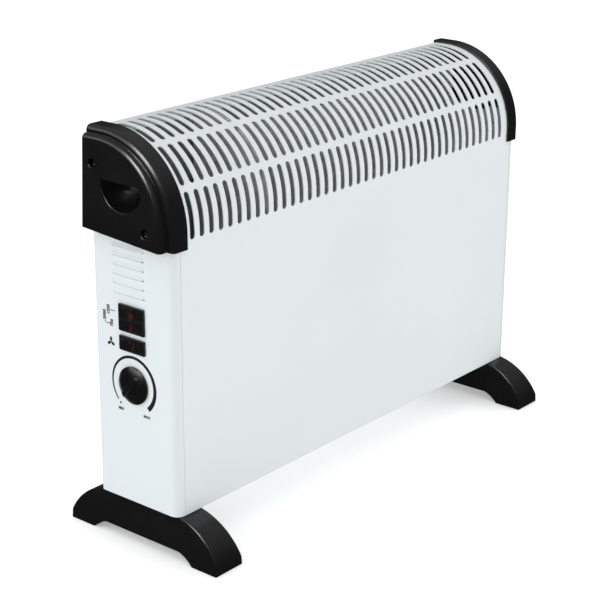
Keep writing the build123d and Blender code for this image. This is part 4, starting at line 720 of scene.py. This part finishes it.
# ---------------------------------------------------------------- floor, lights and camera
# A pale seamless floor in a white tent, with two large lights that only light the surfaces
# and two smaller ones that only show in them.
FLOOR_RADIUS = 9.0
FLOOR_GAP = 0.0002
floor_mesh = bpy.data.meshes.new("floor")
floor_build = bmesh.new()
bmesh.ops.create_circle(floor_build, cap_ends=True, segments=96, radius=FLOOR_RADIUS)
floor_build.to_mesh(floor_mesh)
floor_build.free()
floor = bpy.data.objects.new("floor", floor_mesh)
bpy.context.scene.collection.objects.link(floor)
floor.location.z = cad_low.z - FLOOR_GAP
floor_mesh.materials.append(
    finish(
        "studio_floor",
        colours=((0.95, 0.95, 0.95), (0.965, 0.965, 0.965)),
        rough=(0.6, 0.7),
        grain=dict(Scale=60.0, Fine=3.0, Share=0.5, Mottle=1.0),
        depth=0.0001,
        Emission_Color=(1.0, 1.0, 1.0, 1.0),
        Emission_Strength=0.34,
    )
)
floor.visible_glossy = False

world = bpy.data.worlds.new("white_tent")
bpy.context.scene.world = world
world.use_nodes = True
sky = world.node_tree
tent = sky.nodes["Background"]
rays = wire(sky, "ShaderNodeLightPath").outputs
toward = parts_of(sky, wire(sky, "ShaderNodeTexCoord").outputs["Generated"])[2]
ceiling = ramp(sky, toward, 0.2, 0.9, 0.03, 0.5, interpolation_type="SMOOTHSTEP")
overhead = ramp(sky, toward, 0.25, 1.0, 0.33, 1.2)
plain = mixed(sky, rays["Is Camera Ray"], overhead, 1.0)
seen = mixed(sky, rays["Is Glossy Ray"], plain, ceiling)
sky.links.new(seen, tent.inputs["Strength"])
tent.inputs["Color"].default_value = (1.0, 1.0, 1.0, 1)


def softbox(name, place, aim, size, power, colour=(1.0, 1.0, 1.0), glossy=False):
    """A rectangular area light pointed at a target, that either lights or only shows as a glint."""
    light = bpy.data.lights.new(name, "AREA")
    light.shape = "RECTANGLE"
    light.size, light.size_y = size
    light.energy = power
    lamp = bpy.data.objects.new(name, light)
    lamp.location = place
    lamp.rotation_euler = (Vector(aim) - Vector(place)).to_track_quat("-Z", "Y").to_euler()
    light.color = colour
    lamp.visible_diffuse = not glossy
    lamp.visible_glossy = glossy
    bpy.context.scene.collection.objects.link(lamp)


LARGE_BOX = (1.6, 1.6)
COOL_WHITE = (0.88, 0.95, 1.0)
HEATER_MIDDLE = (0.0, 0.0, 0.2)
CAP_MIDDLE = (-0.27, 0.0, 0.33)
# two large lights, a cool one behind on the left and a white one in front on the right
softbox("back_left_light", (-2.3, 1.5, 1.3), HEATER_MIDDLE, LARGE_BOX, 17.0, colour=COOL_WHITE)
softbox("front_right_light", (1.9, -2.1, 1.2), HEATER_MIDDLE, LARGE_BOX, 18.0)
# a small bright box and a long dim one, seen only as glints on glossy surfaces; they are
# aimed at the near end cap
softbox("scoop_glint", (-1.85, -0.14, 1.86), CAP_MIDDLE, (1.1, 1.1), 80.0, glossy=True)
softbox("edge_glint", (-1.9, 0.9, 1.35), CAP_MIDDLE, (2.4, 0.8), 16.0, glossy=True)

camera_data = bpy.data.cameras.new("camera")
camera_data.sensor_width = 36.0
camera_data.lens = 99.927
camera_data.clip_start = 0.05
camera_data.clip_end = 50.0
camera = bpy.data.objects.new("camera", camera_data)
right = Vector((0.63894, -0.76924, 0.00507))
down = Vector((-0.25423, -0.21738, -0.9424))
forward = Vector((0.72603, 0.60084, -0.33446))
CAMERA_PLACE = (-1.213885, -0.974502, 0.719524)
turn = Matrix((right, -down, -forward)).transposed().to_4x4()
camera.matrix_world = Matrix.Translation(CAMERA_PLACE) @ turn
bpy.context.scene.collection.objects.link(camera)
bpy.context.scene.camera = camera
bpy.context.scene.view_settings.view_transform = "Standard"
